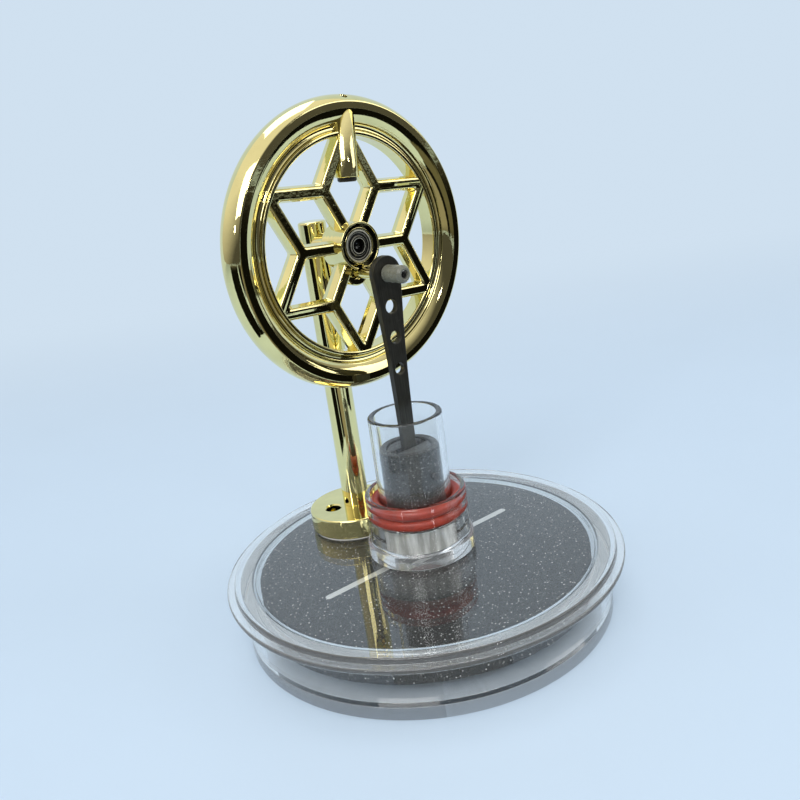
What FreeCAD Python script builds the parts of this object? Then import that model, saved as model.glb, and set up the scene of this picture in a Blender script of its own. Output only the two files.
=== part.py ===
import FreeCAD, Part
import math
import os
import Sketcher

# A palm-size demonstration engine that runs on a warm surface: a clear chamber
# with a loose foam displacer, a glass cylinder with a graphite piston, a column
# and a spoked flywheel. Millimetres, +Z up, origin at the middle of the base,
# and the flywheel turns about an axis parallel to Y, with its front towards -Y.

V = FreeCAD.Vector
doc = FreeCAD.newDocument("stirling_engine")
sheet = doc.addObject("Spreadsheet::Sheet", "dims")


# Driving dimensions
class Dim:
    """A number together with the spreadsheet expression that drives it."""

    def __init__(self, value, text):
        self.value = float(value)
        self.text = text

    def joined(self, other, sign, value):
        return Dim(value, "({} {} {})".format(self.text, sign, words(other)))

    def __add__(self, other):
        return self.joined(other, "+", self.value + number(other))

    def __sub__(self, other):
        return self.joined(other, "-", self.value - number(other))

    def __mul__(self, other):
        return self.joined(other, "*", self.value * number(other))

    def __truediv__(self, other):
        return self.joined(other, "/", self.value / number(other))

    def __neg__(self):
        return Dim(-self.value, "(0 - {})".format(self.text))


def number(item):
    """The plain value of a dimension or of a number."""
    return item.value if isinstance(item, Dim) else float(item)


def words(item):
    """The expression of a dimension or of a number."""
    return item.text if isinstance(item, Dim) else repr(float(item))


cells = {}


def dim(name, value):
    """Writes one driving dimension into the sheet and returns it."""
    row = len(cells) + 1
    sheet.set("A{}".format(row), name)
    sheet.set("B{}".format(row), repr(value))
    sheet.setAlias("B{}".format(row), name)
    cells[name] = Dim(value, "dims." + name)
    return cells[name]


# chamber
base_radius = dim("base_radius", 42.1)
base_height = dim("base_height", 3.0)
wall_inner = dim("wall_inner", 39.6)
lid_radius = dim("lid_radius", 45.3)
lid_under = dim("lid_under", 12.7)
lid_top = dim("lid_top", 14.9)
lid_hole = dim("lid_hole", 6.4)
disc_radius = dim("disc_radius", 38.0)
disc_bottom = dim("disc_bottom", 5.6)
disc_top = dim("disc_top", 12.3)
strip_length = dim("strip_length", 53.4)
strip_width = dim("strip_width", 1.8)
strip_depth = dim("strip_depth", 0.8)
# cylinder
collar_radius = dim("collar_radius", 11.5)
collar_foot = dim("collar_foot", 12.2)
collar_top = dim("collar_top", 29.3)
collar_bore = dim("collar_bore", 10.25)
ledge_top = dim("ledge_top", 23.3)
seat_height = dim("seat_height", 16.6)
tube_radius = dim("tube_radius", 8.25)
tube_bore = dim("tube_bore", 6.86)
tube_top = dim("tube_top", 47.4)
ring_upper = dim("ring_upper", 27.15)
ring_lower = dim("ring_lower", 24.6)
# piston and rod
piston_radius = dim("piston_radius", 6.8)
piston_bottom = dim("piston_bottom", 25.0)
piston_top = dim("piston_top", 40.0)
plug_radius = dim("plug_radius", 4.96)
slot_width = dim("slot_width", 1.9)
wrist_height = dim("wrist_height", 34.0)
wrist_radius = dim("wrist_radius", 0.78)
rod_thick = dim("rod_thick", 1.5)
rod_eye = dim("rod_eye", 3.7)
pin_radius = dim("pin_radius", 0.9)
# flywheel
wheel_y = dim("wheel_y", 9.5)
wheel_z = dim("wheel_z", 84.0)
wheel_turn = dim("wheel_turn", 4.2)
wheel_opening = dim("wheel_opening", 22.6)
wheel_crown = dim("wheel_crown", 30.9)
rim_half_width = dim("rim_half_width", 3.5)
web_middle = dim("web_middle", 0.85)
web_half = dim("web_half", 2.15)
star_vertex = dim("star_vertex", 13.7)
bar_half = dim("bar_half", 1.6)
hub_radius = dim("hub_radius", 5.15)
crank_radius = dim("crank_radius", 5.6)
lobe_radius = dim("lobe_radius", 3.1)
boss_radius = dim("boss_radius", 2.6)
boss_start = dim("boss_start", 14.2)
slug_radius = dim("slug_radius", 2.05)
bearing_outer = dim("bearing_outer", 3.5)
bearing_bore = dim("bearing_bore", 1.5)
bearing_width = dim("bearing_width", 3.0)
# column
column_y = dim("column_y", 23.5)
column_radius = dim("column_radius", 3.2)
column_top = dim("column_top", 89.3)
foot_radius = dim("foot_radius", 10.8)
foot_shift = dim("foot_shift", 1.0)
foot_top = dim("foot_top", 20.0)
pad_height = dim("pad_height", 0.25)
doc.recompute()

TURN = math.radians(wheel_turn.value)
turn_sine = Dim(math.sin(TURN), "sin(dims.wheel_turn * 1 deg)")
turn_cosine = Dim(math.cos(TURN), "cos(dims.wheel_turn * 1 deg)")
crank_z = wheel_z - crank_radius


def hanging(along, sideways):
    """A point of the flywheel, given along and across the crank's own direction."""
    x = turn_sine * along + turn_cosine * sideways
    y = turn_sine * sideways - turn_cosine * along
    return x, y


# Building blocks
def bind(item, path, value):
    """Sets an object's property to a value and ties it to the sheet."""
    setattr(item, path, number(value))
    if isinstance(value, Dim):
        item.setExpression(path, value.text)


def place(item, x=0.0, y=0.0, z=0.0, axis=(0, 0, 1), angle=0.0, front=False):
    """Places a body, with its own Z turned to the front if it lies along Y."""
    spin = FreeCAD.Rotation(V(*axis), number(angle))
    if front:
        spin = FreeCAD.Rotation(V(1, 0, 0), 90).multiply(spin)
    item.Placement = FreeCAD.Placement(V(number(x), number(y), number(z)), spin)
    for letter, value in (("x", x), ("y", y), ("z", z)):
        if isinstance(value, Dim):
            item.setExpression("Placement.Base." + letter, value.text)


def body(label, **where):
    """A new body for one named piece."""
    made = doc.addObject("PartDesign::Body", label)
    made.Label = label
    place(made, **where)
    return made


def origin_part(owner, role):
    """One of the body's own planes or axes."""
    return next(o for o in owner.Origin.OriginFeatures if o.Role == role)


def sketch(owner, role, lift=0.0):
    """An empty sketch on one of the body's own planes, lifted along its normal."""
    made = owner.newObject("Sketcher::SketchObject", "outline")
    made.AttachmentSupport = [(origin_part(owner, role), "")]
    made.MapMode = "FlatFace"
    made.AttachmentOffset = FreeCAD.Placement(V(0, 0, number(lift)), FreeCAD.Rotation())
    if isinstance(lift, Dim):
        made.setExpression("AttachmentOffset.Base.z", lift.text)
    return made


def hold_one(page, geo, end, word, value):
    """Holds one coordinate of a point of a line, arc or circle."""
    if abs(number(value)) < 1e-9:
        axis = -2 if word == "DistanceX" else -1
        page.addConstraint(Sketcher.Constraint("PointOnObject", geo, end, axis))
        return
    rule = Sketcher.Constraint(word, -1, 1, geo, end, number(value))
    at = page.addConstraint(rule)
    if isinstance(value, Dim):
        page.renameConstraint(at, "held{}".format(at))
        page.setExpression("Constraints.held{}".format(at), value.text)


def hold(page, geo, end, point):
    """Holds a point at a driven position."""
    hold_one(page, geo, end, "DistanceX", point[0])
    hold_one(page, geo, end, "DistanceY", point[1])


def halfway(a, b):
    """The middle of two driven coordinates."""
    if isinstance(b, Dim):
        a, b = b, a
    return (a + b) / 2


def hold_arc(page, geo, radius, start, stop):
    """Holds an arc's size: by its radius, or by its centre if it is half a circle."""
    dx = number(stop[0]) - number(start[0])
    dy = number(stop[1]) - number(start[1])
    if radius > math.hypot(dx, dy) / 2 + 1e-4:
        page.addConstraint(Sketcher.Constraint("Radius", geo, radius))
    elif abs(dx) > abs(dy):
        hold_one(page, geo, 3, "DistanceY", halfway(start[1], stop[1]))
    else:
        hold_one(page, geo, 3, "DistanceX", halfway(start[0], stop[0]))


def draw(page, points, arcs=None):
    """Draws a closed outline. arcs gives, for a side's number, a point on its arc."""
    arcs = arcs or {}
    flat = [V(number(x), number(y), 0) for x, y in points]
    ends = []
    first = page.GeometryCount
    for n, start in enumerate(flat):
        after = (n + 1) % len(flat)
        if n in arcs:
            middle = V(number(arcs[n][0]), number(arcs[n][1]), 0)
            arc = Part.Arc(start, middle, flat[after])
            geo = page.addGeometry(arc, False)
            radius = arc.toShape().Curve.Radius
            hold_arc(page, geo, radius, points[n], points[after])
        else:
            geo = page.addGeometry(Part.LineSegment(start, flat[after]), False)
        swapped = page.getPoint(geo, 1).distanceToPoint(start) > 1e-6
        ends.append((2, 1) if swapped else (1, 2))
    for n in range(len(flat)):
        after = (n + 1) % len(flat)
        rule = Sketcher.Constraint(
            "Coincident", first + n, ends[n][1], first + after, ends[after][0]
        )
        page.addConstraint(rule)
        hold(page, first + n, ends[n][0], points[n])
    if page.solve() != 0:
        raise RuntimeError("an outline can't be solved: {}".format(points))
    return page


def ring(page, radius, x=0.0, y=0.0):
    """Draws one circle with a driven radius and centre."""
    shape = Part.Circle(V(number(x), number(y), 0), V(0, 0, 1), number(radius))
    geo = page.addGeometry(shape, False)
    at = page.addConstraint(Sketcher.Constraint("Radius", geo, number(radius)))
    if isinstance(radius, Dim):
        page.renameConstraint(at, "held{}".format(at))
        page.setExpression("Constraints.held{}".format(at), radius.text)
    hold(page, geo, 3, (x, y))
    return page


def finish(owner, made):
    """Recomputes and stops at once if a feature has failed."""
    doc.recompute()
    bad = [s for s in made.State if s in ("Invalid", "Error")]
    if bad or made.Shape.isNull() or not made.Shape.isValid():
        raise RuntimeError("{} in {} failed: {}".format(made.Name, owner.Label, made.State))
    return made


def turned(owner, points, arcs=None, kind="PartDesign::Revolution"):
    """A solid of revolution, or a groove, about the body's own Z. Points are (radius, height)."""
    page = draw(sketch(owner, "XZ_Plane"), points, arcs)
    made = owner.newObject(kind, "turned")
    made.Profile = page
    made.ReferenceAxis = (page, ["V_Axis"])
    made.Angle = 360
    page.Visibility = False
    return finish(owner, made)


def pad(owner, page, length, back=None, reverse=False, taper=0.0):
    """Pads a sketch to one side, or to both if back is given."""
    made = owner.newObject("PartDesign::Pad", "pad")
    made.Profile = page
    if back is not None:
        made.SideType = "Two sides"
        bind(made, "Length2", back)
        made.TaperAngle2 = taper
    bind(made, "Length", length)
    made.TaperAngle = taper
    made.Reversed = reverse
    page.Visibility = False
    return finish(owner, made)


def pocket(owner, page, length, reverse=False, back=None):
    """Cuts a sketch out of the body. The cut has to remove something."""
    before = owner.Tip.Shape.Volume
    made = owner.newObject("PartDesign::Pocket", "pocket")
    made.Profile = page
    if back is not None:
        made.SideType = "Two sides"
        bind(made, "Length2", back)
    bind(made, "Length", length)
    made.Reversed = reverse
    page.Visibility = False
    finish(owner, made)
    if made.Shape.Volume >= before - 1e-6:
        raise RuntimeError("a pocket in {} cuts nothing".format(owner.Label))
    return made


def around(owner, feature, count):
    """Repeats a feature around the body's own Z."""
    made = owner.newObject("PartDesign::PolarPattern", "around")
    made.Originals = [feature]
    made.Axis = (origin_part(owner, "Z_Axis"), [""])
    made.Angle = 360
    made.Occurrences = count
    owner.Tip = made
    return finish(owner, made)


def tube(owner, inner, outer, low, high, bevel=0.0):
    """A plain or bevelled ring, turned about Z. An inner radius of 0 makes a rod."""
    b = bevel
    if b:
        points = [
            (inner, low),
            (outer - b, low),
            (outer, low + b),
            (outer, high - b),
            (outer - b, high),
            (inner, high),
        ]
    else:
        points = [(inner, low), (outer, low), (outer, high), (inner, high)]
    return turned(owner, points)


def edges_where(shape, test):
    """The names of the edges that pass a test on their middle point."""
    found = []
    for n, edge in enumerate(shape.Edges):
        middle = edge.valueAt((edge.FirstParameter + edge.LastParameter) / 2)
        if test(edge, middle):
            found.append("Edge{}".format(n + 1))
    return found


def soften(owner, base, names, size, kind="PartDesign::Fillet"):
    """Rounds or bevels chosen edges of a feature."""
    made = owner.newObject(kind, "soft_edges")
    made.Base = (base, names)
    if kind == "PartDesign::Fillet":
        made.Radius = size
    else:
        made.Size = size
    return finish(owner, made)


# Chamber: base plate, clear wall and moulded lid
base = body("base_plate")
tube(base, 0.0, base_radius, 0.0, base_height, 0.3)

wall = body("chamber_wall", z=base_height)
tube(wall, wall_inner, base_radius, 0.0, lid_under - base_height)

lid = body("lid")
lid_points = [
    (lid_hole, lid_under),
    (wall_inner - 0.75, lid_under),
    (wall_inner - 0.75, lid_under - 1.3),
    (wall_inner - 0.1, lid_under - 1.3),
    (wall_inner - 0.1, lid_under),
    (base_radius + 0.05, lid_under),
    (base_radius + 0.05, lid_under - 0.2),
    (lid_radius - 0.5, lid_under - 0.2),
    (lid_radius, lid_under + 0.3),
    (lid_radius, lid_under + 0.55),
    (lid_radius - 0.4, lid_under + 0.95),
    (lid_radius - 1.6, lid_under + 0.95),
    (lid_radius - 1.8, lid_under + 1.15),
    (lid_radius - 1.8, lid_top - 0.5),
    (lid_radius - 2.3, lid_top),
    (lid_hole, lid_top),
]
lid_arcs = {
    7: (lid_radius - 0.146, lid_under - 0.054),
    9: (lid_radius - 0.117, lid_under + 0.833),
    11: (lid_radius - 1.74, lid_under + 1.01),
    13: (lid_radius - 1.95, lid_top - 0.15),
}
turned(lid, lid_points, lid_arcs)

# Displacer: foam disc with a flat steel strip let into its top
foam = body("displacer")
foam_points = [
    (0.0, disc_bottom),
    (disc_radius - 0.5, disc_bottom),
    (disc_radius, disc_bottom + 0.5),
    (disc_radius, disc_top - 0.5),
    (disc_radius - 0.5, disc_top),
    (0.0, disc_top),
]
foam_arcs = {
    1: (disc_radius - 0.146, disc_bottom + 0.146),
    3: (disc_radius - 0.146, disc_top - 0.146),
}
turned(foam, foam_points, foam_arcs)


def strip_outline(page, extra):
    """A long outline with round ends, centred on the displacer."""
    end = strip_length / 2 + extra
    side = strip_width / 2 + extra
    flat = strip_length / 2 - strip_width / 2
    points = [(-flat, -side), (flat, -side), (flat, side), (-flat, side)]
    return draw(page, points, {1: (end, 0.0), 3: (-end, 0.0)})


strip_x = -0.4
strip_y = 0.024
page = sketch(foam, "XY_Plane", disc_top - strip_depth - 0.05)
page.AttachmentOffset = FreeCAD.Placement(
    V(strip_x, strip_y, page.AttachmentOffset.Base.z), FreeCAD.Rotation(V(0, 0, 1), -3.5)
)
pocket(foam, strip_outline(page, 0.05), 2.0, reverse=True)

strip = body(
    "displacer_armature", x=strip_x, y=strip_y, z=disc_top - strip_depth, angle=-3.5
)
strip_pad = pad(strip, strip_outline(sketch(strip, "XY_Plane"), 0.0), strip_depth)
top_edges = edges_where(strip_pad.Shape, lambda e, p: p.z > strip_depth.value - 0.01)
soften(strip, strip_pad, top_edges, 0.2)

# Cylinder: clear socket, two squeezed rings and the glass tube
socket = body("cylinder_socket", z=lid_top)
rise = lid_top
socket_points = [
    (tube_bore + 0.04, 0.0),
    (collar_foot - 0.3, 0.0),
    (collar_foot, 0.3),
    (collar_foot, 3.1),
    (collar_foot - 0.55, 3.65),
    (collar_radius, 4.2),
    (collar_radius, collar_top - rise - 0.45),
    (collar_radius - 0.45, collar_top - rise),
    (collar_bore + 0.25, collar_top - rise),
    (collar_bore, collar_top - rise - 0.25),
    (collar_bore, ledge_top - rise),
    (tube_radius + 0.03, ledge_top - rise),
    (tube_radius + 0.03, seat_height - rise),
    (tube_bore + 0.04, seat_height - rise),
]
socket_arcs = {
    3: (collar_foot - 0.161, 3.489),
    6: (collar_radius - 0.132, collar_top - rise - 0.132),
}
turned(socket, socket_points, socket_arcs)


def squeezed_ring(label, height):
    """A rubber ring whose section is flattened between the tube and the socket."""
    made = body(label, z=height)
    inner = tube_radius + 0.01
    outer = collar_bore - 0.01
    middle = (tube_radius + collar_bore) / 2
    points = [(inner, -0.2), (outer, -0.2), (outer, 0.2), (inner, 0.2)]
    turned(made, points, {0: (middle, -1.19), 2: (middle, 1.19)})
    return made


squeezed_ring("o_ring_upper", ring_upper)
squeezed_ring("o_ring_lower", ring_lower)

glass = body("cylinder_tube", z=seat_height)
glass_height = tube_top - seat_height
glass_points = [
    (tube_bore, 0.0),
    (tube_radius, 0.0),
    (tube_radius, glass_height - 0.4),
    (tube_radius - 0.4, glass_height),
    (tube_bore + 0.4, glass_height),
    (tube_bore, glass_height - 0.4),
]
glass_arcs = {
    2: (tube_radius - 0.117, glass_height - 0.117),
    4: (tube_bore + 0.117, glass_height - 0.117),
}
turned(glass, glass_points, glass_arcs)

# Piston: graphite sleeve, slotted plug, wrist pin and magnet
sleeve = body("piston_sleeve", z=piston_bottom)
long = piston_top - piston_bottom
sleeve_points = [
    (4.2, 0.0),
    (piston_radius - 0.3, 0.0),
    (piston_radius, 0.3),
    (piston_radius, long - 0.3),
    (piston_radius - 0.3, long),
    (plug_radius + 0.34, long),
    (plug_radius + 0.04, long - 0.3),
    (plug_radius + 0.04, 1.5),
    (4.2, 1.5),
]
turned(sleeve, sleeve_points)

plug = body("piston_insert", z=wrist_height)
plug_low = -4.5
plug_high = piston_top - wrist_height - 0.35
tube(plug, 0.0, plug_radius, plug_low, plug_high, 0.3)
slot = sketch(plug, "YZ_Plane", -6.0)
side = slot_width / 2
draw(slot, [(-side, -3.5), (side, -3.5), (side, 7.0), (-side, 7.0)])
pocket(plug, slot, 12.0, reverse=True)
hole = ring(sketch(plug, "XZ_Plane", -6.0), wrist_radius + 0.005)
pocket(plug, hole, 12.0, reverse=True)

wrist = body("wrist_pin", z=wrist_height, front=True)
tube(wrist, 0.0, wrist_radius, -4.6, 4.6, 0.15)

magnet = body("piston_magnet", z=piston_bottom + 1.5)
tube(magnet, 0.0, plug_radius - 0.05, 0.02, 2.9, 0.2)

# Connecting rod: a flat tapering strap with three holes, upright over the piston
rod = body("connecting_rod", y=rod_thick / 2, z=wrist_height, front=True)
rod_top = crank_z - wrist_height
rod_points = [
    (1.65, 0.0),
    (1.65, 7.0),
    (2.2, 25.5),
    (3.2, 38.5),
    (rod_eye - 0.06, rod_top - 0.7),
    (-(rod_eye - 0.06), rod_top - 0.7),
    (-3.2, 38.5),
    (-2.2, 25.5),
    (-1.65, 7.0),
    (-1.65, 0.0),
]
rod_arcs = {
    1: (1.87, 16.2),
    2: (2.64, 32.0),
    4: (0.0, rod_top + rod_eye),
    6: (-2.64, 32.0),
    7: (-1.87, 16.2),
    9: (0.0, -1.65),
}
rod_pad = pad(rod, draw(sketch(rod, "XY_Plane"), rod_points, rod_arcs), rod_thick)
holes = sketch(rod, "XY_Plane", -1.0)
ring(holes, wrist_radius + 0.03)
ring(holes, pin_radius + 0.01, 0.0, rod_top)
for radius, height in ((1.5, 37.4), (1.35, 30.7), (1.25, 23.7)):
    ring(holes, radius, 0.0, height)
rod_cut = pocket(rod, holes, 4.0, reverse=True)


def rod_rim(edge, point):
    """The long outer edges of the strap, front and back."""
    on_face = abs(point.z) < 0.01 or abs(point.z - rod_thick.value) < 0.01
    return on_face and not (edge.isClosed() and abs(point.x) < 1.6) and edge.Length > 3


soften(rod, rod_cut, edges_where(rod_cut.Shape, rod_rim), 0.2)

pin = body("crank_pin", z=crank_z, front=True)
tube(pin, 0.0, pin_radius, -0.74, 6.0, 0.12)

grip = body("retaining_sleeve", z=crank_z, front=True)
grip_points = [
    (pin_radius + 0.02, 0.77),
    (1.55, 0.77),
    (1.85, 1.07),
    (1.85, 5.8),
    (1.25, 6.4),
    (pin_radius + 0.02, 6.3),
]
turned(grip, grip_points, {1: (1.762, 0.858), 3: (1.674, 6.224)})

# Flywheel: hub, six spokes, star bars, rim, crank lobe and balance boss in one casting
wheel = body("flywheel", y=wheel_y, z=wheel_z, angle=-wheel_turn.value, front=True)
hub_points = [
    (bearing_outer + 0.01, 2.3),
    (bearing_outer + 0.4, 2.3),
    (bearing_outer + 0.4, 0.3),
    (hub_radius - 0.5, 0.3),
    (hub_radius - 0.5, 2.5),
    (hub_radius - 0.35, 2.7),
    (hub_radius - 0.2, 2.7),
    (hub_radius, 2.5),
    (hub_radius, -4.4),
    (hub_radius - 0.4, -4.8),
    (2.75, -4.8),
    (2.75, -0.9),
    (bearing_outer + 0.01, -0.9),
]
hub_arcs = {
    4: (hub_radius - 0.449, 2.618),
    6: (hub_radius - 0.0586, 2.6414),
    8: (hub_radius - 0.117, -4.683),
}
turned(wheel, hub_points, hub_arcs)

# One arm is a spoke and its two star bars, drawn in one outline so that the
# drafted sides meet in clean mitres. Six of them make the star.
reach = 13.6
cosine = 0.5
sine = math.sqrt(3) / 2
bar_x = star_vertex + reach * cosine
bar_y = reach * sine
upper = [
    (bar_x + bar_half * sine, -(bar_half * cosine) + bar_y),
    (bar_x - bar_half * sine, bar_half * cosine + bar_y),
    (star_vertex - bar_half * math.tan(math.radians(30)), bar_half),
    (4.25, bar_half),
]
lower = [(x, -y) for x, y in reversed(upper)]
arm = [*lower, (star_vertex + bar_half / sine, 0.0), *upper]
arm_page = draw(sketch(wheel, "XY_Plane", -web_middle), arm)
arm_pad = pad(wheel, arm_page, web_half, web_half, taper=-13)
around(wheel, arm_pad, 6)

rim_half = [
    (wheel_opening, 1.65),
    (wheel_opening + 0.35, web_half),
    (wheel_opening + 0.95, web_half),
    (wheel_opening + 2.7, 2.05),
    (wheel_opening + 5.1, rim_half_width),
    (wheel_opening + 6.7, rim_half_width),
]
rim_rear = [(r, -(web_middle + z)) for r, z in rim_half]
rim_front = [(r, -web_middle + z) for r, z in rim_half]
rim_points = rim_rear + rim_front[::-1]
rim_curves = {2: (wheel_opening + 1.78, 1.3), 3: (wheel_opening + 3.8, 2.98)}
rim_arcs = {5: (wheel_crown, -web_middle)}
for n, (r, z) in rim_curves.items():
    rim_arcs[n] = (r, -(web_middle + z))
    rim_arcs[10 - n] = (r, -web_middle + z)
turned(wheel, rim_points, rim_arcs)

# crank lobe, hanging below the hub, with a seat for the distance tube
lobe_points = [
    hanging(3.6, 3.0),
    hanging(crank_radius, lobe_radius),
    hanging(crank_radius, -lobe_radius),
    hanging(3.6, -3.0),
]
lobe_arc = {1: hanging(crank_radius + lobe_radius, 0.0)}
pad(wheel, draw(sketch(wheel, "XY_Plane", 0.1), lobe_points, lobe_arc), 4.4, reverse=True)
seat = sketch(wheel, "XY_Plane", 3.0)
ring(seat, 1.42, *hanging(crank_radius, 0.0))
pocket(wheel, seat, 2.89)
stud_hole = sketch(wheel, "XY_Plane", 3.0)
ring(stud_hole, pin_radius + 0.01, *hanging(crank_radius, 0.0))
pocket(wheel, stud_hole, 5.75)

# balance boss between the star's top bars, bored for a slug from inside, with
# a small drilling through the rim above it
boss = ring(sketch(wheel, "XZ_Plane", -boss_start), boss_radius)
pad(wheel, boss, 14.3, reverse=True)
bore = ring(sketch(wheel, "XZ_Plane", -(boss_start - 1.0)), slug_radius + 0.02)
pocket(wheel, bore, 11.0)
drilling = ring(sketch(wheel, "XZ_Plane", -(wheel_crown + 1.0)), 0.8, 0.0, 1.2)
pocket(wheel, drilling, 9.5, reverse=True)

slug = body(
    "balance_weight", y=wheel_y, z=wheel_z, angle=-wheel_turn.value, front=True
)
slug_pad = pad(
    slug,
    ring(sketch(slug, "XZ_Plane", -(boss_start - 0.9)), slug_radius),
    10.4,
    reverse=True,
)
slug_edges = edges_where(slug_pad.Shape, lambda e, p: e.isClosed())
soften(slug, slug_pad, slug_edges, 0.3, "PartDesign::Chamfer")

# Crank: the stud pressed in the lobe and the polished distance tube on it
stud = body("crank_stud", z=crank_z, front=True)
tube(stud, 0.0, pin_radius, -12.2, -0.95, 0.1)
spacer = body("crank_spacer", z=crank_z, front=True)
tube(spacer, pin_radius + 0.01, 1.4, -9.38, -0.9, 0.12)

# Ball bearing in the hub
race_half = bearing_width / 2
race_y = wheel_y + 0.88 - race_half
ball_radius = 0.5
ball_pitch = 2.5


def race(label, inner, outer, side):
    """A bearing ring with a round ball track, inside it if side is 1, else outside."""
    made = body(label, y=race_y, z=wheel_z, front=True)
    tube(made, inner, outer, -race_half, race_half, 0.12)
    edge = ball_pitch + 0.43 * side
    points = [(edge, -0.31), (edge, 0.31), (edge - 0.2 * side, 0.0)]
    turned(made, points, {0: (edge + 0.1 * side, 0.0)}, "PartDesign::Groove")


race("bearing_outer_race", ball_pitch + 0.43, bearing_outer, 1)
race("bearing_inner_race", bearing_bore, ball_pitch - 0.43, -1)
for label, low in (("bearing_shield_front", 1.12), ("bearing_shield_rear", -1.3)):
    shield = body(label, y=race_y, z=wheel_z, front=True)
    tube(shield, 2.14, 2.92, low, low + 0.18)

balls = body("bearing_balls", y=race_y, z=wheel_z, front=True)
balls.AllowCompound = True
ball = balls.newObject("PartDesign::AdditiveSphere", "ball")
ball.AttachmentSupport = [(origin_part(balls, "XY_Plane"), "")]
ball.MapMode = "FlatFace"
ball.AttachmentOffset = FreeCAD.Placement(V(ball_pitch, 0, 0), FreeCAD.Rotation())
ball.Radius = ball_radius
finish(balls, ball)
around(balls, ball, 7)

# the cage's ring lies behind the balls and its posts stand between them
cage = body("bearing_cage", y=race_y, z=wheel_z, angle=180 / 7, front=True)
tube(cage, ball_pitch - 0.22, ball_pitch + 0.22, -0.95, -0.6)
post = pad(cage, ring(sketch(cage, "XY_Plane", -0.7), 0.2, ball_pitch, 0.0), 1.0)
around(cage, post, 7)

# Axle and the distance tube behind the bearing
axle = body("axle", y=wheel_y, z=wheel_z, front=True)
tube(axle, 0.0, bearing_bore - 0.01, -12.5, 1.3, 0.15)
washer = body("axle_spacer", y=wheel_y, z=wheel_z, front=True)
tube(washer, bearing_bore + 0.01, 2.3, -6.1, -0.9, 0.1)

# Column with its horizontal axle boss, on a round foot
column = body("column", y=column_y)
column_points = [
    (0.0, foot_top - 3.4),
    (1.6, foot_top - 3.4),
    (1.9, foot_top - 3.1),
    (1.9, foot_top),
    (column_radius, foot_top),
    (column_radius, column_top - 0.6),
    (column_radius - 0.6, column_top),
    (0.0, column_top),
]
turned(
    column,
    column_points,
    {5: (column_radius - 0.176, column_top - 0.176)},
)
neck_page = ring(sketch(column, "XZ_Plane", 0.0), 2.6, 0.0, wheel_z)
neck = pad(column, neck_page, column_y - wheel_y - 6.15)
neck_edges = edges_where(
    neck.Shape, lambda e, p: p.y < -7.5 and e.isClosed() and e.Length > 10
)
soften(column, neck, neck_edges, 0.3)
axle_way = ring(sketch(column, "XZ_Plane", -1.0), bearing_bore, 0.0, wheel_z)
pocket(column, axle_way, 12.0, reverse=True)
screw_way = ring(sketch(column, "XZ_Plane", -4.0), 1.27, 0.0, wheel_z)
pocket(column, screw_way, 2.7, reverse=True)

screw = body("axle_set_screw", y=column_y, z=wheel_z, front=True)
tube(screw, 0.0, 1.25, -2.75, -1.4, 0.15)
key = sketch(screw, "XY_Plane", -3.0)
key_points = [
    (0.7 * math.cos(math.pi * n / 3), 0.7 * math.sin(math.pi * n / 3)) for n in range(6)
]
pocket(screw, draw(key, key_points), 1.0, reverse=True)

foot = body("column_foot", x=-foot_shift, y=column_y, z=lid_top + pad_height)
foot_high = foot_top - lid_top - pad_height
foot_points = [
    (0.0, 0.0),
    (foot_radius - 0.5, 0.0),
    (foot_radius, 0.5),
    (foot_radius, foot_high - 0.45),
    (foot_radius - 0.45, foot_high),
    (0.0, foot_high),
]
foot_arcs = {
    1: (foot_radius - 0.146, 0.146),
    3: (foot_radius - 0.132, foot_high - 0.132),
}
foot_made = turned(foot, foot_points, foot_arcs)
column_way = ring(sketch(foot, "XY_Plane", foot_high - 3.45), 1.92, foot_shift, 0.0)
pocket(foot, column_way, 6.0, reverse=True)
tapped = sketch(foot, "XY_Plane", foot_high)
ring(tapped, 1.85, -4.95, 1.8)
doc.recompute()
thread = foot.newObject("PartDesign::Hole", "tapped_hole")
thread.Profile = tapped
thread.DepthType = "Dimension"
thread.Depth = 4.0
thread.Diameter = 3.7
thread.DrillPoint = "Flat"
thread.HoleCutType = "Countersink"
thread.HoleCutDiameter = 4.3
thread.HoleCutCountersinkAngle = 90
finish(foot, thread)
tapped.Visibility = False

cushion = body("foot_pad", x=-foot_shift - 0.25, y=column_y - 0.25, z=lid_top)
tube(cushion, 0.0, foot_radius - 0.55, 0.0, pad_height)


# Checks and export
NODES = [
    "base_plate",
    "chamber_wall",
    "lid",
    "displacer",
    "displacer_armature",
    "cylinder_socket",
    "o_ring_upper",
    "o_ring_lower",
    "cylinder_tube",
    "piston_sleeve",
    "piston_insert",
    "wrist_pin",
    "piston_magnet",
    "connecting_rod",
    "crank_pin",
    "retaining_sleeve",
    "flywheel",
    "balance_weight",
    "crank_stud",
    "crank_spacer",
    "bearing_outer_race",
    "bearing_inner_race",
    "bearing_shield_front",
    "bearing_shield_rear",
    "bearing_balls",
    "bearing_cage",
    "axle",
    "axle_spacer",
    "column",
    "axle_set_screw",
    "column_foot",
    "foot_pad",
]
doc.recompute()
for item in doc.Objects:
    if [s for s in item.State if s in ("Invalid", "Error")]:
        raise RuntimeError("{} is {}".format(item.Name, item.State))
os.makedirs("parts", exist_ok=True)
for node in NODES:
    item = doc.getObjectsByLabel(node)[0]
    if item.Shape.isNull() or not item.Shape.isValid():
        raise RuntimeError("{} has no valid shape".format(node))
    item.Shape.exportStep("parts/{}.step".format(node))
    box = item.Shape.BoundBox
    print(
        "{:22s} {:2d} solid {:9.2f} mm3  x {:7.2f} {:7.2f}  y {:7.2f} {:7.2f}  z {:7.2f} {:7.2f}".format(
            node,
            len(item.Shape.Solids),
            item.Shape.Volume,
            box.XMin,
            box.XMax,
            box.YMin,
            box.YMax,
            box.ZMin,
            box.ZMax,
        )
    )
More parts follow.
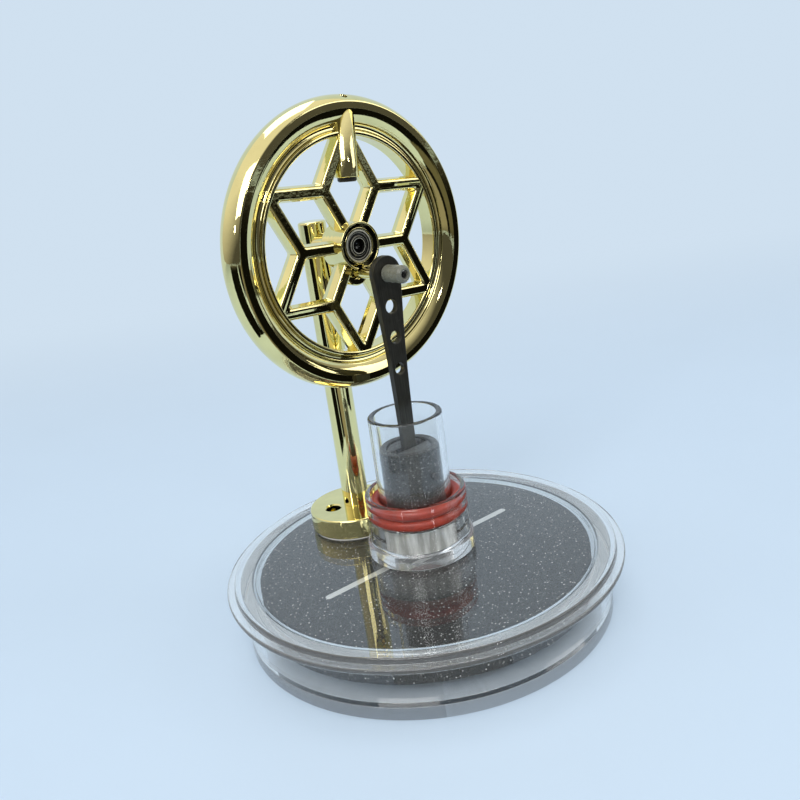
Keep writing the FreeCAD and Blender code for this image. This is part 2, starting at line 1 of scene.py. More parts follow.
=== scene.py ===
import math
import bmesh
import bpy
import numpy as np
from mathutils import Matrix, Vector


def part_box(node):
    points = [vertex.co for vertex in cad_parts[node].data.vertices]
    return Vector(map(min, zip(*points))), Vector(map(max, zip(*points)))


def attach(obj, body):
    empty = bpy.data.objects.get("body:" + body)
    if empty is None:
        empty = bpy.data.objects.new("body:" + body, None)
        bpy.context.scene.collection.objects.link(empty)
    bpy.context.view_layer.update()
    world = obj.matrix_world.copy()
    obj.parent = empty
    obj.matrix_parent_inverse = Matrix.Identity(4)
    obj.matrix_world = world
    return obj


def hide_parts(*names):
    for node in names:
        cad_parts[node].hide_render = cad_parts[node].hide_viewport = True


bl_info = {
    "name": "Demonstration hot-air engine",
    "version": (1, 0, 0),
    "blender": (4, 5, 0),
    "location": "View3D > Sidebar > Engine",
    "description": "Dresses the packed frame of a palm-size hot-air engine",
    "category": "Object",
}

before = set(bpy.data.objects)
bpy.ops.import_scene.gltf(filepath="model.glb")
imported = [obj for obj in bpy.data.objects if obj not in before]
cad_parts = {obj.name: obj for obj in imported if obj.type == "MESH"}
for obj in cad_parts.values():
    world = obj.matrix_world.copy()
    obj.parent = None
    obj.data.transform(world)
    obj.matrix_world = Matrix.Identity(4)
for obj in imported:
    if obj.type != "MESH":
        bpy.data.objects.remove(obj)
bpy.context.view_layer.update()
MM = 0.001


def ends(node, axis=2):
    """A CAD node's lowest and highest place along an axis (2 is up), in millimetres."""
    low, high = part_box(node)
    return low[axis] / MM, high[axis] / MM


# Places that several pieces share, in millimetres, and the wheel's turn at rest
WHEEL_Y = sum(ends("balance_weight", 1)) / 2
WHEEL_Z = sum(ends("axle")) / 2
WHEEL_TURN = math.radians(-4.2)
WEB_MIDDLE = 0.85
CRANK_Z = sum(ends("crank_pin")) / 2
CRANK_RADIUS = 0.9
WRIST_Z = 34.0
WALL_IN = 39.6
COLUMN_Y = 23.5
FOOT_X = -1.0

# The camera fitted to the photograph: degrees, and its place in millimetres
AZIMUTH, ELEVATION, ROLL = -38.87, 17.89, -7.91
CAMERA_PLACE = (-111.97, -138.05, 107.84)
BACKWARDS = (0.63, 0.78, 0.0)


# Shape tools
def unit(vectors):
    """Vectors divided by their length, the last axis being the coordinates."""
    return vectors / np.maximum(np.linalg.norm(vectors, axis=-1, keepdims=True), 1e-12)


def bow(start, through, stop, count=12):
    """Points on the circle through three points, from start to stop, without stop.

    The centre is where the bisectors of the two chords cross, and the angle runs
    evenly from the start's to the stop's, past the middle one.
    """
    a, b, c = (np.asarray(p, float) for p in (start, through, stop))
    centre = np.linalg.solve(2 * np.stack([b - a, c - a]), [b @ b - a @ a, c @ c - a @ a])
    angle = [math.atan2(*(p - centre)[::-1]) for p in (a, b, c)]
    first = (angle[1] - angle[0]) % (2 * math.pi)
    whole = (angle[2] - angle[0]) % (2 * math.pi)
    if first > whole:
        whole -= 2 * math.pi
    way = angle[0] + whole * np.arange(count) / count
    radius = np.linalg.norm(a - centre)
    return centre + radius * np.stack([np.cos(way), np.sin(way)], 1)


def rounded(corners, count=6, hold=0.03):
    """A closed outline whose corners are rounded. Each row is (x, y, radius).

    A corner with a radius becomes an arc that touches both of its sides, with a
    holding point a little way along each side, so that flats stay flat when they
    are shaded smooth. A row with a negative radius stays one plain point.
    """
    rows = np.asarray(corners, float)
    point, radius = rows[:, :2], np.maximum(rows[:, 2], 0)
    before = np.roll(point, 1, 0) - point
    after = np.roll(point, -1, 0) - point
    side = np.minimum(np.linalg.norm(before, axis=1), np.linalg.norm(after, axis=1))
    u, v = unit(before), unit(after)
    half = np.arccos(np.clip((u * v).sum(1), -0.999999, 0.999999)) / 2
    reach = np.minimum(radius / np.tan(half), 0.45 * side)
    true_radius = reach * np.tan(half)
    centre = point + unit(u + v) * (true_radius / np.sin(half))[:, None]
    a = point + u * reach[:, None] - centre
    b = point + v * reach[:, None] - centre
    sweep = np.maximum(math.pi - 2 * half, 1e-4)[:, None, None]
    t = np.linspace(0, 1, count + 1)[None, :, None]
    arc = np.sin((1 - t) * sweep) * a[:, None] + np.sin(t * sweep) * b[:, None]
    arc = centre[:, None] + arc / np.sin(sweep)
    step = np.minimum(hold, 0.04 * side)[:, None, None]
    full = np.concatenate([arc[:, :1] + u[:, None] * step, arc, arc[:, -1:] + v[:, None] * step], 1)
    keep = np.ones(full.shape[:2], bool)
    plain = rows[:, 2] < 0
    full[plain, 0] = point[plain]
    keep[plain, 1:] = False
    return full[keep]


def solid(radius, low, high, low_edge, high_edge):
    """The rows of a plain turned bar: out from the axis, up its side and back."""
    return [(0, low, -1), (radius, low, low_edge), (radius, high, high_edge), (0, high, -1)]


def pipe(inner, outer, low, high, *edges):
    """The rows of a plain tube, with the edge roundings from its inner lower corner on."""
    corners = (inner, low), (outer, low), (outer, high), (inner, high)
    return [(*corner, edge) for corner, edge in zip(corners, edges)]


def revolve(profile, turns=256):
    """A profile of (radius, height) carried round the Z axis.

    A point at radius r, height h and angle a lies at (r cos a, r sin a, h).
    """
    a = 2 * math.pi * np.arange(turns) / turns
    r, h = profile[:, :1], profile[:, 1:2]
    return np.stack([r * np.cos(a), r * np.sin(a), h + 0 * a], -1)


def slab(outline, levels):
    """A flat piece whose rim is shaped: the outline moved inwards, level by level.

    Each level is (inset, height). A point moves along the bisector of its two
    sides by inset divided by the cosine of half the turn there. The first and
    last level are closed by one flat face each.
    """
    ahead = unit(np.roll(outline, -1, 0) - outline)
    x, y = outline.T
    area = (x * np.roll(y, -1)).sum() - (np.roll(x, -1) * y).sum()
    inward = np.stack([-ahead[:, 1], ahead[:, 0]], 1) * math.copysign(1, area)
    before = np.roll(inward, 1, 0)
    bisector = (inward + before) / np.maximum(1 + (inward * before).sum(1, keepdims=True), 0.15)
    levels = np.asarray(levels, float)
    flat = outline[None] + levels[:, :1, None] * bisector[None]
    height = np.broadcast_to(levels[:, 1, None, None], flat.shape[:2] + (1,))
    return np.concatenate([flat, height], -1)


def spun(points, angle):
    """Points turned about Z by an angle, in two or three dimensions."""
    c, s, size = math.cos(angle), math.sin(angle), points.shape[-1]
    return points @ np.array([[c, s, 0], [-s, c, 0], [0, 0, 1]])[:size, :size]


def on_wheel(points):
    """From the wheel's own (across, up, front) to the frame, turned to its rest angle."""
    c, s = math.cos(WHEEL_TURN), math.sin(WHEEL_TURN)
    x, y, z = points[..., 0], points[..., 1], points[..., 2]
    return np.stack([c * x - s * y, WHEEL_Y - z, WHEEL_Z + s * x + c * y], -1)


def along_y(points, height=0.0, y=0.0):
    """A piece made about Z is laid along Y: its own height h comes to y minus h."""
    return np.stack([points[..., 0], y - points[..., 2], height + points[..., 1]], -1)


def quads(rows, columns, offset=0, wrap_rows=False, wrap_columns=False):
    """Corner numbers of a grid's four-sided faces, which may close either way."""
    i = np.arange(rows if wrap_rows else rows - 1)[:, None]
    j = np.arange(columns if wrap_columns else columns - 1)[None]
    i2, j2 = (i + 1) % rows, (j + 1) % columns
    face = np.stack([i * columns + j, i * columns + j2, i2 * columns + j2, i2 * columns + j], -1)
    return (face.reshape(-1, 4) + offset).tolist()


def smooth(mesh):
    """Shades every face smooth."""
    mesh.polygons.foreach_set("use_smooth", np.ones(len(mesh.polygons), bool))


def put(name, points, faces):
    """A mesh object in the scene, from points in millimetres."""
    mesh = bpy.data.meshes.new(name)
    mesh.from_pydata((np.asarray(points) * MM).tolist(), [], faces)
    made = bpy.data.objects.new(name, mesh)
    bpy.context.scene.collection.objects.link(made)
    return made


def build(name, shells):
    """One mesh object from several shells, each a grid of points in millimetres.

    A shell is (points, closed along its rows). A shell that isn't closed there is
    shut at both ends by one flat face, or by its pole where the radius is nothing.
    Doubled points are merged, and every face is turned outwards.
    """
    points, faces, start = [], [], 0
    for grid, closed in shells:
        rows, columns = grid.shape[:2]
        points.append(grid.reshape(-1, 3))
        faces += quads(rows, columns, start, closed, True)
        if not closed:
            last = start + (rows - 1) * columns
            faces.append(list(range(start, start + columns))[::-1])
            faces.append(list(range(last, last + columns)))
        start += rows * columns
    piece = put(name, np.concatenate(points), faces)
    work = bmesh.new()
    work.from_mesh(piece.data)
    bmesh.ops.remove_doubles(work, verts=work.verts, dist=2e-7)
    bmesh.ops.dissolve_degenerate(work, edges=work.edges, dist=1e-7)
    bmesh.ops.recalc_face_normals(work, faces=work.faces)
    work.to_mesh(piece.data)
    work.free()
    smooth(piece.data)
    piece.data.update()
    return piece


def turned(name, corners, turns=192, count=6, height=None, x=0.0, y=0.0):
    """A turned piece from (radius, height, corner radius) rows.

    It stands about Z at x and y, or lies along Y where a height is given.
    """
    grid = revolve(rounded(corners, count), turns)
    grid = grid + [x, y, 0] if height is None else along_y(grid, height, y)
    return build(name, [(grid, True)])


def cut(piece, *cutters):
    """Takes the cutters out of a piece, and removes them."""
    for cutter in cutters:
        tool = piece.modifiers.new("cut", "BOOLEAN")
        tool.operation, tool.solver, tool.object = "DIFFERENCE", "EXACT", cutter
    graph = bpy.context.evaluated_depsgraph_get()
    graph.update()
    made = bpy.data.meshes.new_from_object(piece.evaluated_get(graph))
    piece.modifiers.clear()
    spent = [piece.data] + [cutter.data for cutter in cutters]
    piece.data = made
    for cutter in cutters:
        bpy.data.objects.remove(cutter)
    for mesh in spent:
        bpy.data.meshes.remove(mesh)
    smooth(made)
    steady(piece)


def steady(piece, angle=30):
    """Keeps flats flat and edges crisp, by face area, on a piece cut by another."""
    piece.data.set_sharp_from_angle(angle=math.radians(angle))
    weigh = piece.modifiers.new("steady", "WEIGHTED_NORMAL")
    weigh.keep_sharp = True


def dress(piece, body, slot, material, *nodes):
    """Gives a piece its body, its finish and the CAD nodes that it stands for."""
    piece.data.materials.clear()
    piece.data.materials.append(material)
    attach(piece, body)
    if nodes:
        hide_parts(*nodes)
    return piece


def second_finish(piece, material, chosen):
    """Gives a second finish to some faces, chosen by their centres, in millimetres."""
    piece.data.materials.append(material)
    centre = np.empty(3 * len(piece.data.polygons))
    piece.data.polygons.foreach_get("center", centre)
    picked = chosen(*(centre.reshape(-1, 3) / MM).T)
    piece.data.polygons.foreach_set("material_index", picked.astype(np.int32))


# Finishes
class Nodes:
    """Adds nodes to a tree, fed with plain values or with other nodes' outputs."""

    def __init__(self, tree):
        self.tree = tree

    def feed(self, node, socket, item):
        """Wires a socket to another node's output, or sets a plain value on it."""
        place = node.inputs[socket]
        if isinstance(item, bpy.types.NodeSocket):
            self.tree.links.new(item, place)
        elif hasattr(place.default_value, "__len__") and len(item) < len(place.default_value):
            place.default_value = (*item, 1.0)
        else:
            place.default_value = item

    def node(self, kind, feeds, **settings):
        """Adds a node, with its settings and what feeds its sockets."""
        made = self.tree.nodes.new("ShaderNode" + kind)
        for key, value in settings.items():
            setattr(made, key, value)
        for socket, item in feeds.items():
            self.feed(made, socket, item)
        return made

    def give(self, kind, output, feeds, **settings):
        """One output of a new node."""
        return self.node(kind, feeds, **settings).outputs[output]

    def ranged(self, source, low, high, to_low=0, to_high=1, soft=False):
        """Maps low..high to to_low..to_high, with soft ends or not, and holds it there."""
        feeds = {0: source, 1: low, 2: high, 3: to_low, 4: to_high}
        kind = "SMOOTHSTEP" if soft else "LINEAR"
        return self.give("MapRange", "Result", feeds, interpolation_type=kind)

    def maths(self, operation, a, b):
        """One sum on two values or sockets."""
        return self.give("Math", "Value", {0: a, 1: b}, operation=operation)

    def blend(self, factor, first, second, kind="MIX"):
        """Mixes two colours or sockets by a factor."""
        feeds = {0: factor, 6: first, 7: second}
        return self.give("Mix", 2, feeds, data_type="RGBA", blend_type=kind)

    def towards(self, place, way):
        """How far a place lies along a direction: their dot product."""
        return self.give("VectorMath", "Value", {0: place, 1: way}, operation="DOT_PRODUCT")


class Finish(Nodes):
    """A material made of nodes, on the piece's own Object coordinates."""

    def __init__(self, name):
        self.mat = bpy.data.materials.new(name)
        self.mat.use_nodes = True
        super().__init__(self.mat.node_tree)
        self.shader = self.tree.nodes["Principled BSDF"]
        self.place = self.give("TexCoord", "Object", {})
        self.normal = None

    def set(self, **values):
        """Sets the shader's own sockets."""
        for key, value in values.items():
            self.feed(self.shader, key.replace("_", " "), value)

    def colour(self, factor, first, second):
        """The base colour, mixed from two by a factor."""
        self.set(Base_Color=self.blend(factor, first, second))

    def roughness(self, *values):
        """The roughness, ranged from a pattern."""
        self.set(Roughness=self.ranged(*values))

    def mapped(self, location=(0, 0, 0), scale=(1, 1, 1), rotation=(0, 0, 0)):
        """Object coordinates, centred, turned and stretched."""
        feeds = {"Location": location, "Rotation": rotation, "Scale": scale, "Vector": self.place}
        return self.give("Mapping", "Vector", feeds)

    def noise(self, scale, detail=4.0, rough=0.55, where=None):
        """Cloudy noise. scale is in cells to the metre."""
        where = where or self.place
        feeds = {"Scale": scale, "Detail": detail, "Roughness": rough, "Vector": where}
        return self.give("TexNoise", "Fac", feeds)

    def cells(self, scale):
        """Distance to the nearest of scattered points."""
        return self.give("TexVoronoi", "Distance", {"Scale": scale, "Vector": self.place})

    def split(self, place):
        """The three coordinates of a place."""
        return self.node("SeparateXYZ", {0: place}).outputs

    def heading(self, degrees):
        """The cosine of the angle between a place, seen from the origin, and a heading."""
        turn = math.radians(degrees)
        way = self.give("VectorMath", "Vector", {0: self.place}, operation="NORMALIZE")
        return self.towards(way, (math.cos(turn), math.sin(turn), 0))

    def bump(self, source, strength, depth):
        """Adds one relief to the surface. depth is in metres."""
        feeds = {"Strength": strength, "Distance": depth, "Height": source}
        if self.normal is not None:
            feeds["Normal"] = self.normal
        self.normal = self.give("Bump", "Normal", feeds)
        self.set(Normal=self.normal)

    def cover(self, factor, shader):
        """Shows another shader in the finish's place, by a factor."""
        mix = self.give("MixShader", 0, {0: factor, 1: self.shader.outputs[0], 2: shader})
        self.feed(self.tree.nodes["Material Output"], "Surface", mix)

    def passes_light(self, tone):
        """Lets lamp light through to what lies behind, as a clear material does."""
        clear = self.give("BsdfTransparent", 0, {"Color": (tone, tone, tone)})
        self.cover(self.give("LightPath", "Is Shadow Ray", {}), clear)


def finish(maker):
    """Makes a maker's material once for each name, which is the maker's own by default."""
    kept = {}

    def get(name=maker.__name__, *values):
        if name not in kept:
            f = Finish(name)
            maker(f, *values)
            kept[name] = f.mat
        return kept[name]

    get.__doc__ = maker.__doc__
    return get


def tint(name):
    """A colour that a user may change."""
    return tuple(getattr(bpy.context.scene.engine_colours, name))


def toned(colour, factor):
    """A colour made lighter or darker."""
    return tuple(min(1.0, c * factor) for c in colour[:3])


@finish
def plated_gold(f, cast=0.3):
    """Pale gold plating: thin haze, wipe marks and pits, and the casting's grain by cast."""
    gold = tint("gold")
    cloud = f.ranged(f.noise(160, 3), 0.35, 0.7)
    base = f.blend(cloud, toned(gold, 0.93), toned(gold, 1.04))
    specks = f.ranged(f.noise(5200, 3, 0.7), 0.66, 0.74, 0, 0.55 * cast)
    f.colour(specks, base, toned(gold, 0.35))
    haze = f.ranged(f.noise(420, 5, 0.6), 0.4, 0.75, 0.02, 0.07 + 0.04 * cast)
    wipe = f.noise(2600, 3, 0.6, f.mapped(scale=(1, 0.12, 0.25), rotation=(0.3, 0.5, 0.2)))
    wipe = f.ranged(wipe, 0.55, 0.8, 0.0, 0.05)
    f.set(Metallic=1.0, Roughness=f.maths("ADD", haze, wipe))
    f.bump(f.noise(210, 2, 0.4), 0.10, 0.00012)
    f.bump(f.noise(1400, 3, 0.5), 0.35 * cast, 0.00006)
    f.bump(f.ranged(f.cells(900), 0.0, 0.06), 0.06, 0.00002)


@finish
def clear_moulding(f, milk):
    """Clear moulded plastic: dust and slow waves, and the pale bloom of its cut edges."""
    clear = tint("clear")
    f.colour(f.ranged(f.noise(120, 3), 0.35, 0.7), toned(clear, 0.985), clear)
    dust = f.ranged(f.cells(1500), 0.0, 0.05, 0.30, 0.0)
    haze = f.ranged(f.noise(300, 4), 0.45, 0.8, 0.008, 0.05 + 0.3 * milk)
    f.set(Transmission_Weight=1.0 - milk, IOR=1.49, Roughness=f.maths("ADD", dust, haze))
    f.bump(f.noise(70, 2, 0.3), 0.12, 0.00015)
    f.bump(f.ranged(f.cells(1100), 0.0, 0.05, 1, 0), 0.08, 0.00002)
    f.passes_light(0.94 - 0.5 * milk)


@finish
def drawn_glass(f):
    """A drawn glass tube: faint lines along it and a slow change of thickness."""
    f.set(Transmission_Weight=0.99, IOR=1.47, Base_Color=(0.97, 0.975, 0.965))
    f.roughness(f.noise(260, 3), 0.4, 0.8, 0.0, 0.03)
    f.bump(f.noise(900, 2, 0.5, f.mapped(scale=(1, 1, 0.02))), 0.06, 0.00003)
    f.bump(f.noise(60, 2, 0.3), 0.08, 0.0001)
    f.passes_light(0.94)


@finish
def cement_film(f):
    """The whitish film between the tube and the collar, streaked up and down."""
    streak = f.noise(420, 3, 0.6, f.mapped(scale=(1, 1, 0.12)))
    f.colour(f.ranged(streak, 0.38, 0.62), (0.45, 0.45, 0.42), (0.97, 0.97, 0.94))
    f.set(Transmission_Weight=0.25, IOR=1.47)
    f.roughness(streak, 0.35, 0.7, 0.02, 0.14)
    f.bump(streak, 0.3, 0.0001)


@finish
def fine_foam(f):
    """Dark open foam: small cells, cloudy tone and many fine bright grains."""
    dark = tint("foam")
    cloud = f.ranged(f.noise(1100, 6, 0.75), 0.35, 0.7)
    fine = f.ranged(f.cells(2600), 0.16, 0.30, 1, 0)
    coarse = f.ranged(f.cells(1000), 0.10, 0.17, 1, 0)
    some = f.ranged(f.noise(1300, 2), 0.50, 0.60, 0, 0.5)
    # Painted glints: bright specks in the colour for the sparkle of the foam's cells.
    painted_sparkle = f.maths("MAXIMUM", f.maths("MULTIPLY", fine, some), coarse)
    f.colour(painted_sparkle, f.blend(cloud, toned(dark, 0.6), toned(dark, 1.6)), (0.80, 0.80, 0.78))
    f.set(Specular_IOR_Level=0.3)
    f.roughness(f.noise(1800, 3), 0.3, 0.7, 0.72, 0.92)
    f.bump(f.cells(3400), 0.45, 0.00012)
    f.bump(f.noise(700, 4, 0.6), 0.3, 0.00015)


@finish
def moulded_rubber(f):
    """Brick-red rubber with a satin bloom and a moulding grain."""
    red = tint("rubber")
    bloom = f.ranged(f.noise(600, 5, 0.6), 0.35, 0.75)
    f.colour(bloom, toned(red, 0.8), toned(red, 1.25))
    f.roughness(f.noise(900, 4), 0.3, 0.7, 0.30, 0.48)
    f.set(Specular_IOR_Level=0.5)
    f.bump(f.noise(4200, 3), 0.12, 0.00003)


@finish
def lapped_graphite(f):
    """Lapped graphite: dark grey with a soft sheen, marks along it and bright grains."""
    grey = tint("graphite")
    streak = f.noise(2600, 4, 0.6, f.mapped(scale=(1, 1, 0.04)))
    cloud = f.noise(900, 6, 0.7)
    tone = f.ranged(f.maths("ADD", streak, cloud), 0.8, 1.25)
    # Painted glints: bright specks in the colour for the sparkle of the graphite's flakes.
    bright = f.ranged(f.cells(2100), 0.15, 0.28, 1, 0)
    grain = f.maths("MULTIPLY", bright, f.ranged(f.noise(1300, 2), 0.44, 0.55, 0, 0.9))
    f.colour(grain, f.blend(tone, toned(grey, 0.55), toned(grey, 1.7)), (0.62, 0.62, 0.60))
    f.set(Specular_IOR_Level=0.35)
    f.roughness(f.noise(1300, 4), 0.35, 0.7, 0.30, 0.48)
    f.bump(streak, 0.10, 0.00002)
    f.bump(cloud, 0.2, 0.00004)


@finish
def plug_plastic(f):
    """Dark plastic with pale rubbed streaks where it was machined."""
    streak = f.noise(1500, 5, 0.65, f.mapped(scale=(1, 1, 0.15)))
    f.colour(f.ranged(streak, 0.42, 0.72), (0.045, 0.046, 0.047), (0.16, 0.16, 0.155))
    f.roughness(streak, 0.3, 0.7, 0.32, 0.5)
    f.bump(f.noise(3200, 3), 0.15, 0.00003)


@finish
def black_strap(f):
    """A blackened metal strap: brushed along its length and worn pale at spots."""
    brushed = f.noise(5200, 4, 0.6, f.mapped(scale=(1, 1, 0.03)))
    tone = f.ranged(brushed, 0.4, 0.75)
    base = f.blend(tone, (0.030, 0.028, 0.021), (0.062, 0.058, 0.046))
    worn = f.ranged(f.noise(700, 5, 0.7), 0.62, 0.75, 0, 0.4)
    f.colour(worn, base, (0.12, 0.115, 0.10))
    f.set(Metallic=0.5)
    f.roughness(f.noise(900, 4), 0.3, 0.7, 0.30, 0.44)
    f.bump(brushed, 0.05, 0.00001)


@finish
def turned_steel(f, tone, height, fine=1.0):
    """Bright turned steel with lathe rings about the wheel's or the pin's axis."""
    centre = f.mapped((0, height * MM, 0), rotation=(math.radians(90), 0, 0))
    feeds = {"Scale": 2600 * fine, "Distortion": 0.6, "Detail": 2.0, "Vector": centre}
    ring = f.give("TexWave", "Fac", feeds, wave_type="RINGS", rings_direction="Z")
    cloud = f.ranged(f.noise(800, 4), 0.3, 0.7)
    low = f.blend(cloud, toned((tone,) * 3, 0.86), toned((tone, tone, tone * 0.97), 1.0))
    f.colour(f.ranged(ring, 0, 1, 0, 0.35), low, toned((tone,) * 3, 0.6))
    f.set(Metallic=1.0)
    f.roughness(f.noise(1200, 4), 0.35, 0.7, 0.14, 0.30)
    f.bump(ring, 0.08, 0.00001)


@finish
def bearing_face(f):
    """Dark bearing steel whose ring edges catch the light, by distance from the axle.

    Each edge has a radius and a half width in millimetres, and a strength.
    """
    edges = (1.63, 0.09, 0.8), (2.1, 0.11, 0.7), (2.75, 0.09, 0.5), (3.25, 0.24, 0.8)
    place = f.split(f.mapped((0, 0, -WHEEL_Z * MM)))
    x, z = place["X"], place["Z"]
    square = f.maths("ADD", f.maths("MULTIPLY", x, x), f.maths("MULTIPLY", z, z))
    radius = f.maths("SQRT", square, 0)
    light = None
    for at, half, strength in edges:
        off = f.maths("ABSOLUTE", f.maths("SUBTRACT", radius, at * MM), 0)
        ring = f.ranged(off, 0.4 * half * MM, half * MM, strength, 0)
        light = ring if light is None else f.maths("MAXIMUM", light, ring)
    # Painted highlights: pale rings at the ring edges, over a near-black base that paints a dark
    # reflection.
    f.colour(light, (0.011, 0.011, 0.009), (0.72, 0.68, 0.54))
    f.set(Metallic=0.35, Specular_IOR_Level=0.25)
    f.roughness(f.noise(1200, 4), 0.35, 0.7, 0.22, 0.36)
    f.bump(f.noise(900, 3), 0.05, 0.00002)


@finish
def sheet_metal(f, tone, grain=0.3):
    """Rolled or stamped sheet with a grain along X."""
    brushed = f.noise(3600, 4, 0.6, f.mapped(scale=(0.03, 1, 1)))
    f.colour(f.ranged(brushed, 0.3, 0.75), toned(tone, 0.75), toned(tone, 1.15))
    f.set(Metallic=0.85)
    f.roughness(brushed, 0.3, 0.7, grain, grain + 0.2)
    f.bump(brushed, 0.12, 0.00002)


@finish
def milky_sleeve(f):
    """A soft grey tube that lets a little light through."""
    cloud = f.ranged(f.noise(700, 4), 0.3, 0.7)
    f.colour(cloud, (0.21, 0.205, 0.155), (0.25, 0.245, 0.19))
    f.set(Transmission_Weight=0.15, IOR=1.42, Specular_IOR_Level=0.6)
    f.roughness(f.noise(500, 3), 0.3, 0.7, 0.24, 0.30)
    f.bump(f.noise(900, 2), 0.04, 0.00002)


@finish
def paper_pad(f):
    """A thin white adhesive pad with a felted surface."""
    fibre = f.noise(4200, 5, 0.7)
    f.colour(f.ranged(fibre, 0.3, 0.7), (0.72, 0.72, 0.70), (0.88, 0.88, 0.86))
    f.set(Specular_IOR_Level=0.3)
    f.roughness(fibre, 0.3, 0.7, 0.6, 0.8)
    f.bump(fibre, 0.25, 0.00004)


@finish
def studio_paper(f):
    """The pale paper sweep that the engine stands on, even in tone towards the back.

    The further a place lies towards the back of the set, the more the paper shows its
    own colour to the camera, to metal and to glass. Near the engine it keeps its shadow.
    """
    pale = tuple(bpy.context.scene.engine_stage.paper)
    f.colour(f.ranged(f.noise(9, 3), 0.3, 0.7), toned(pale, 0.98), pale)
    f.set(Specular_IOR_Level=0.15)
    f.roughness(f.noise(300, 3), 0.3, 0.7, 0.75, 0.9)
    far = f.ranged(f.towards(f.place, BACKWARDS), 0.06, 0.45, 0, 1, True)
    path = f.node("LightPath", {}).outputs
    seen = f.maths("MAXIMUM", path["Is Camera Ray"], path["Is Glossy Ray"])
    seen = f.maths("MAXIMUM", seen, path["Is Transmission Ray"])
    f.cover(f.maths("MULTIPLY", far, seen), f.give("Emission", 0, {"Color": pale}))


@finish
def dark_felt(f):
    """The dark cards that metal reflects: near black close by, and paler further off.

    Far off they are paler on the left, and close by they have a mid tone at two headings.
    """
    away = f.give("VectorMath", "Value", {0: f.place}, operation="LENGTH")
    far = f.ranged(away, 0.8, 2.4, 0, 0.95, True)
    far = f.maths("ADD", far, f.ranged(f.noise(40, 3), 0.3, 0.7, 0, 0.02))
    left = f.ranged(f.split(f.place)["X"], -1.6, -0.5, 1, 0, True)
    pale = f.blend(left, (0.10, 0.09, 0.07), (0.26, 0.25, 0.20))
    front = f.ranged(f.heading(-84), 0.975, 0.99, 0, 1, True)
    near = f.blend(front, (0.004, 0.004, 0.003), (0.13, 0.12, 0.08))
    beside = f.ranged(f.heading(-125), 0.940, 0.955, 0, 1, True)
    near = f.blend(beside, near, (0.28, 0.255, 0.20))
    f.colour(far, near, pale)
    f.set(Specular_IOR_Level=0.0)
    f.roughness(f.noise(300, 3), 0.3, 0.7, 0.8, 0.95)


# Settings
class EngineColours(bpy.types.PropertyGroup):
    gold: bpy.props.FloatVectorProperty(
        name="Gold", description="Plating of the wheel, column and foot",
        default=(0.88, 0.785, 0.375), subtype="COLOR", min=0, max=1)
    clear: bpy.props.FloatVectorProperty(
        name="Clear parts", description="Tint of the chamber, lid and collar",
        default=(0.965, 0.965, 0.95), subtype="COLOR", min=0, max=1)
    foam: bpy.props.FloatVectorProperty(
        name="Foam", description="Displacer foam",
        default=(0.030, 0.030, 0.029), subtype="COLOR", min=0, max=1)
    rubber: bpy.props.FloatVectorProperty(
        name="Rubber rings", description="The two rings in the collar",
        default=(0.37, 0.036, 0.014), subtype="COLOR", min=0, max=1)
    graphite: bpy.props.FloatVectorProperty(
        name="Graphite", description="Piston sleeve",
        default=(0.027, 0.026, 0.023), subtype="COLOR", min=0, max=1)


class EngineSizes(bpy.types.PropertyGroup):
    edge: bpy.props.FloatProperty(
        name="Edge rounding", description="Rounding of the clear parts' edges, in millimetres",
        default=0.35, min=0.05, max=0.6)
    bar_half: bpy.props.FloatProperty(
        name="Star bar half width", description="At the parting line, in millimetres",
        default=1.6, min=1.0, max=2.0)
    bar_draft: bpy.props.FloatProperty(
        name="Star bar draft", description="Slope of the star bars' sides",
        default=math.radians(13), min=0, max=math.radians(30), subtype="ANGLE")
    web_half: bpy.props.FloatProperty(
        name="Web half thickness", description="Of the flywheel's star, in millimetres",
        default=2.12, min=1.0, max=2.2)
    turns: bpy.props.IntProperty(
        name="Steps round", description="Steps round the largest turned pieces",
        default=288, min=96, max=384)


class EngineStage(bpy.types.PropertyGroup):
    paper: bpy.props.FloatVectorProperty(
        name="Paper", description="Colour of the floor and backdrop",
        default=(0.63, 0.75, 0.87), subtype="COLOR", min=0, max=1)
    lens: bpy.props.FloatProperty(
        name="Lens", description="Focal length of the camera", default=38.5, unit="CAMERA")
    key: bpy.props.FloatProperty(
        name="Key lamp", description="Power of the large lamp", default=3.4, min=0, unit="POWER")


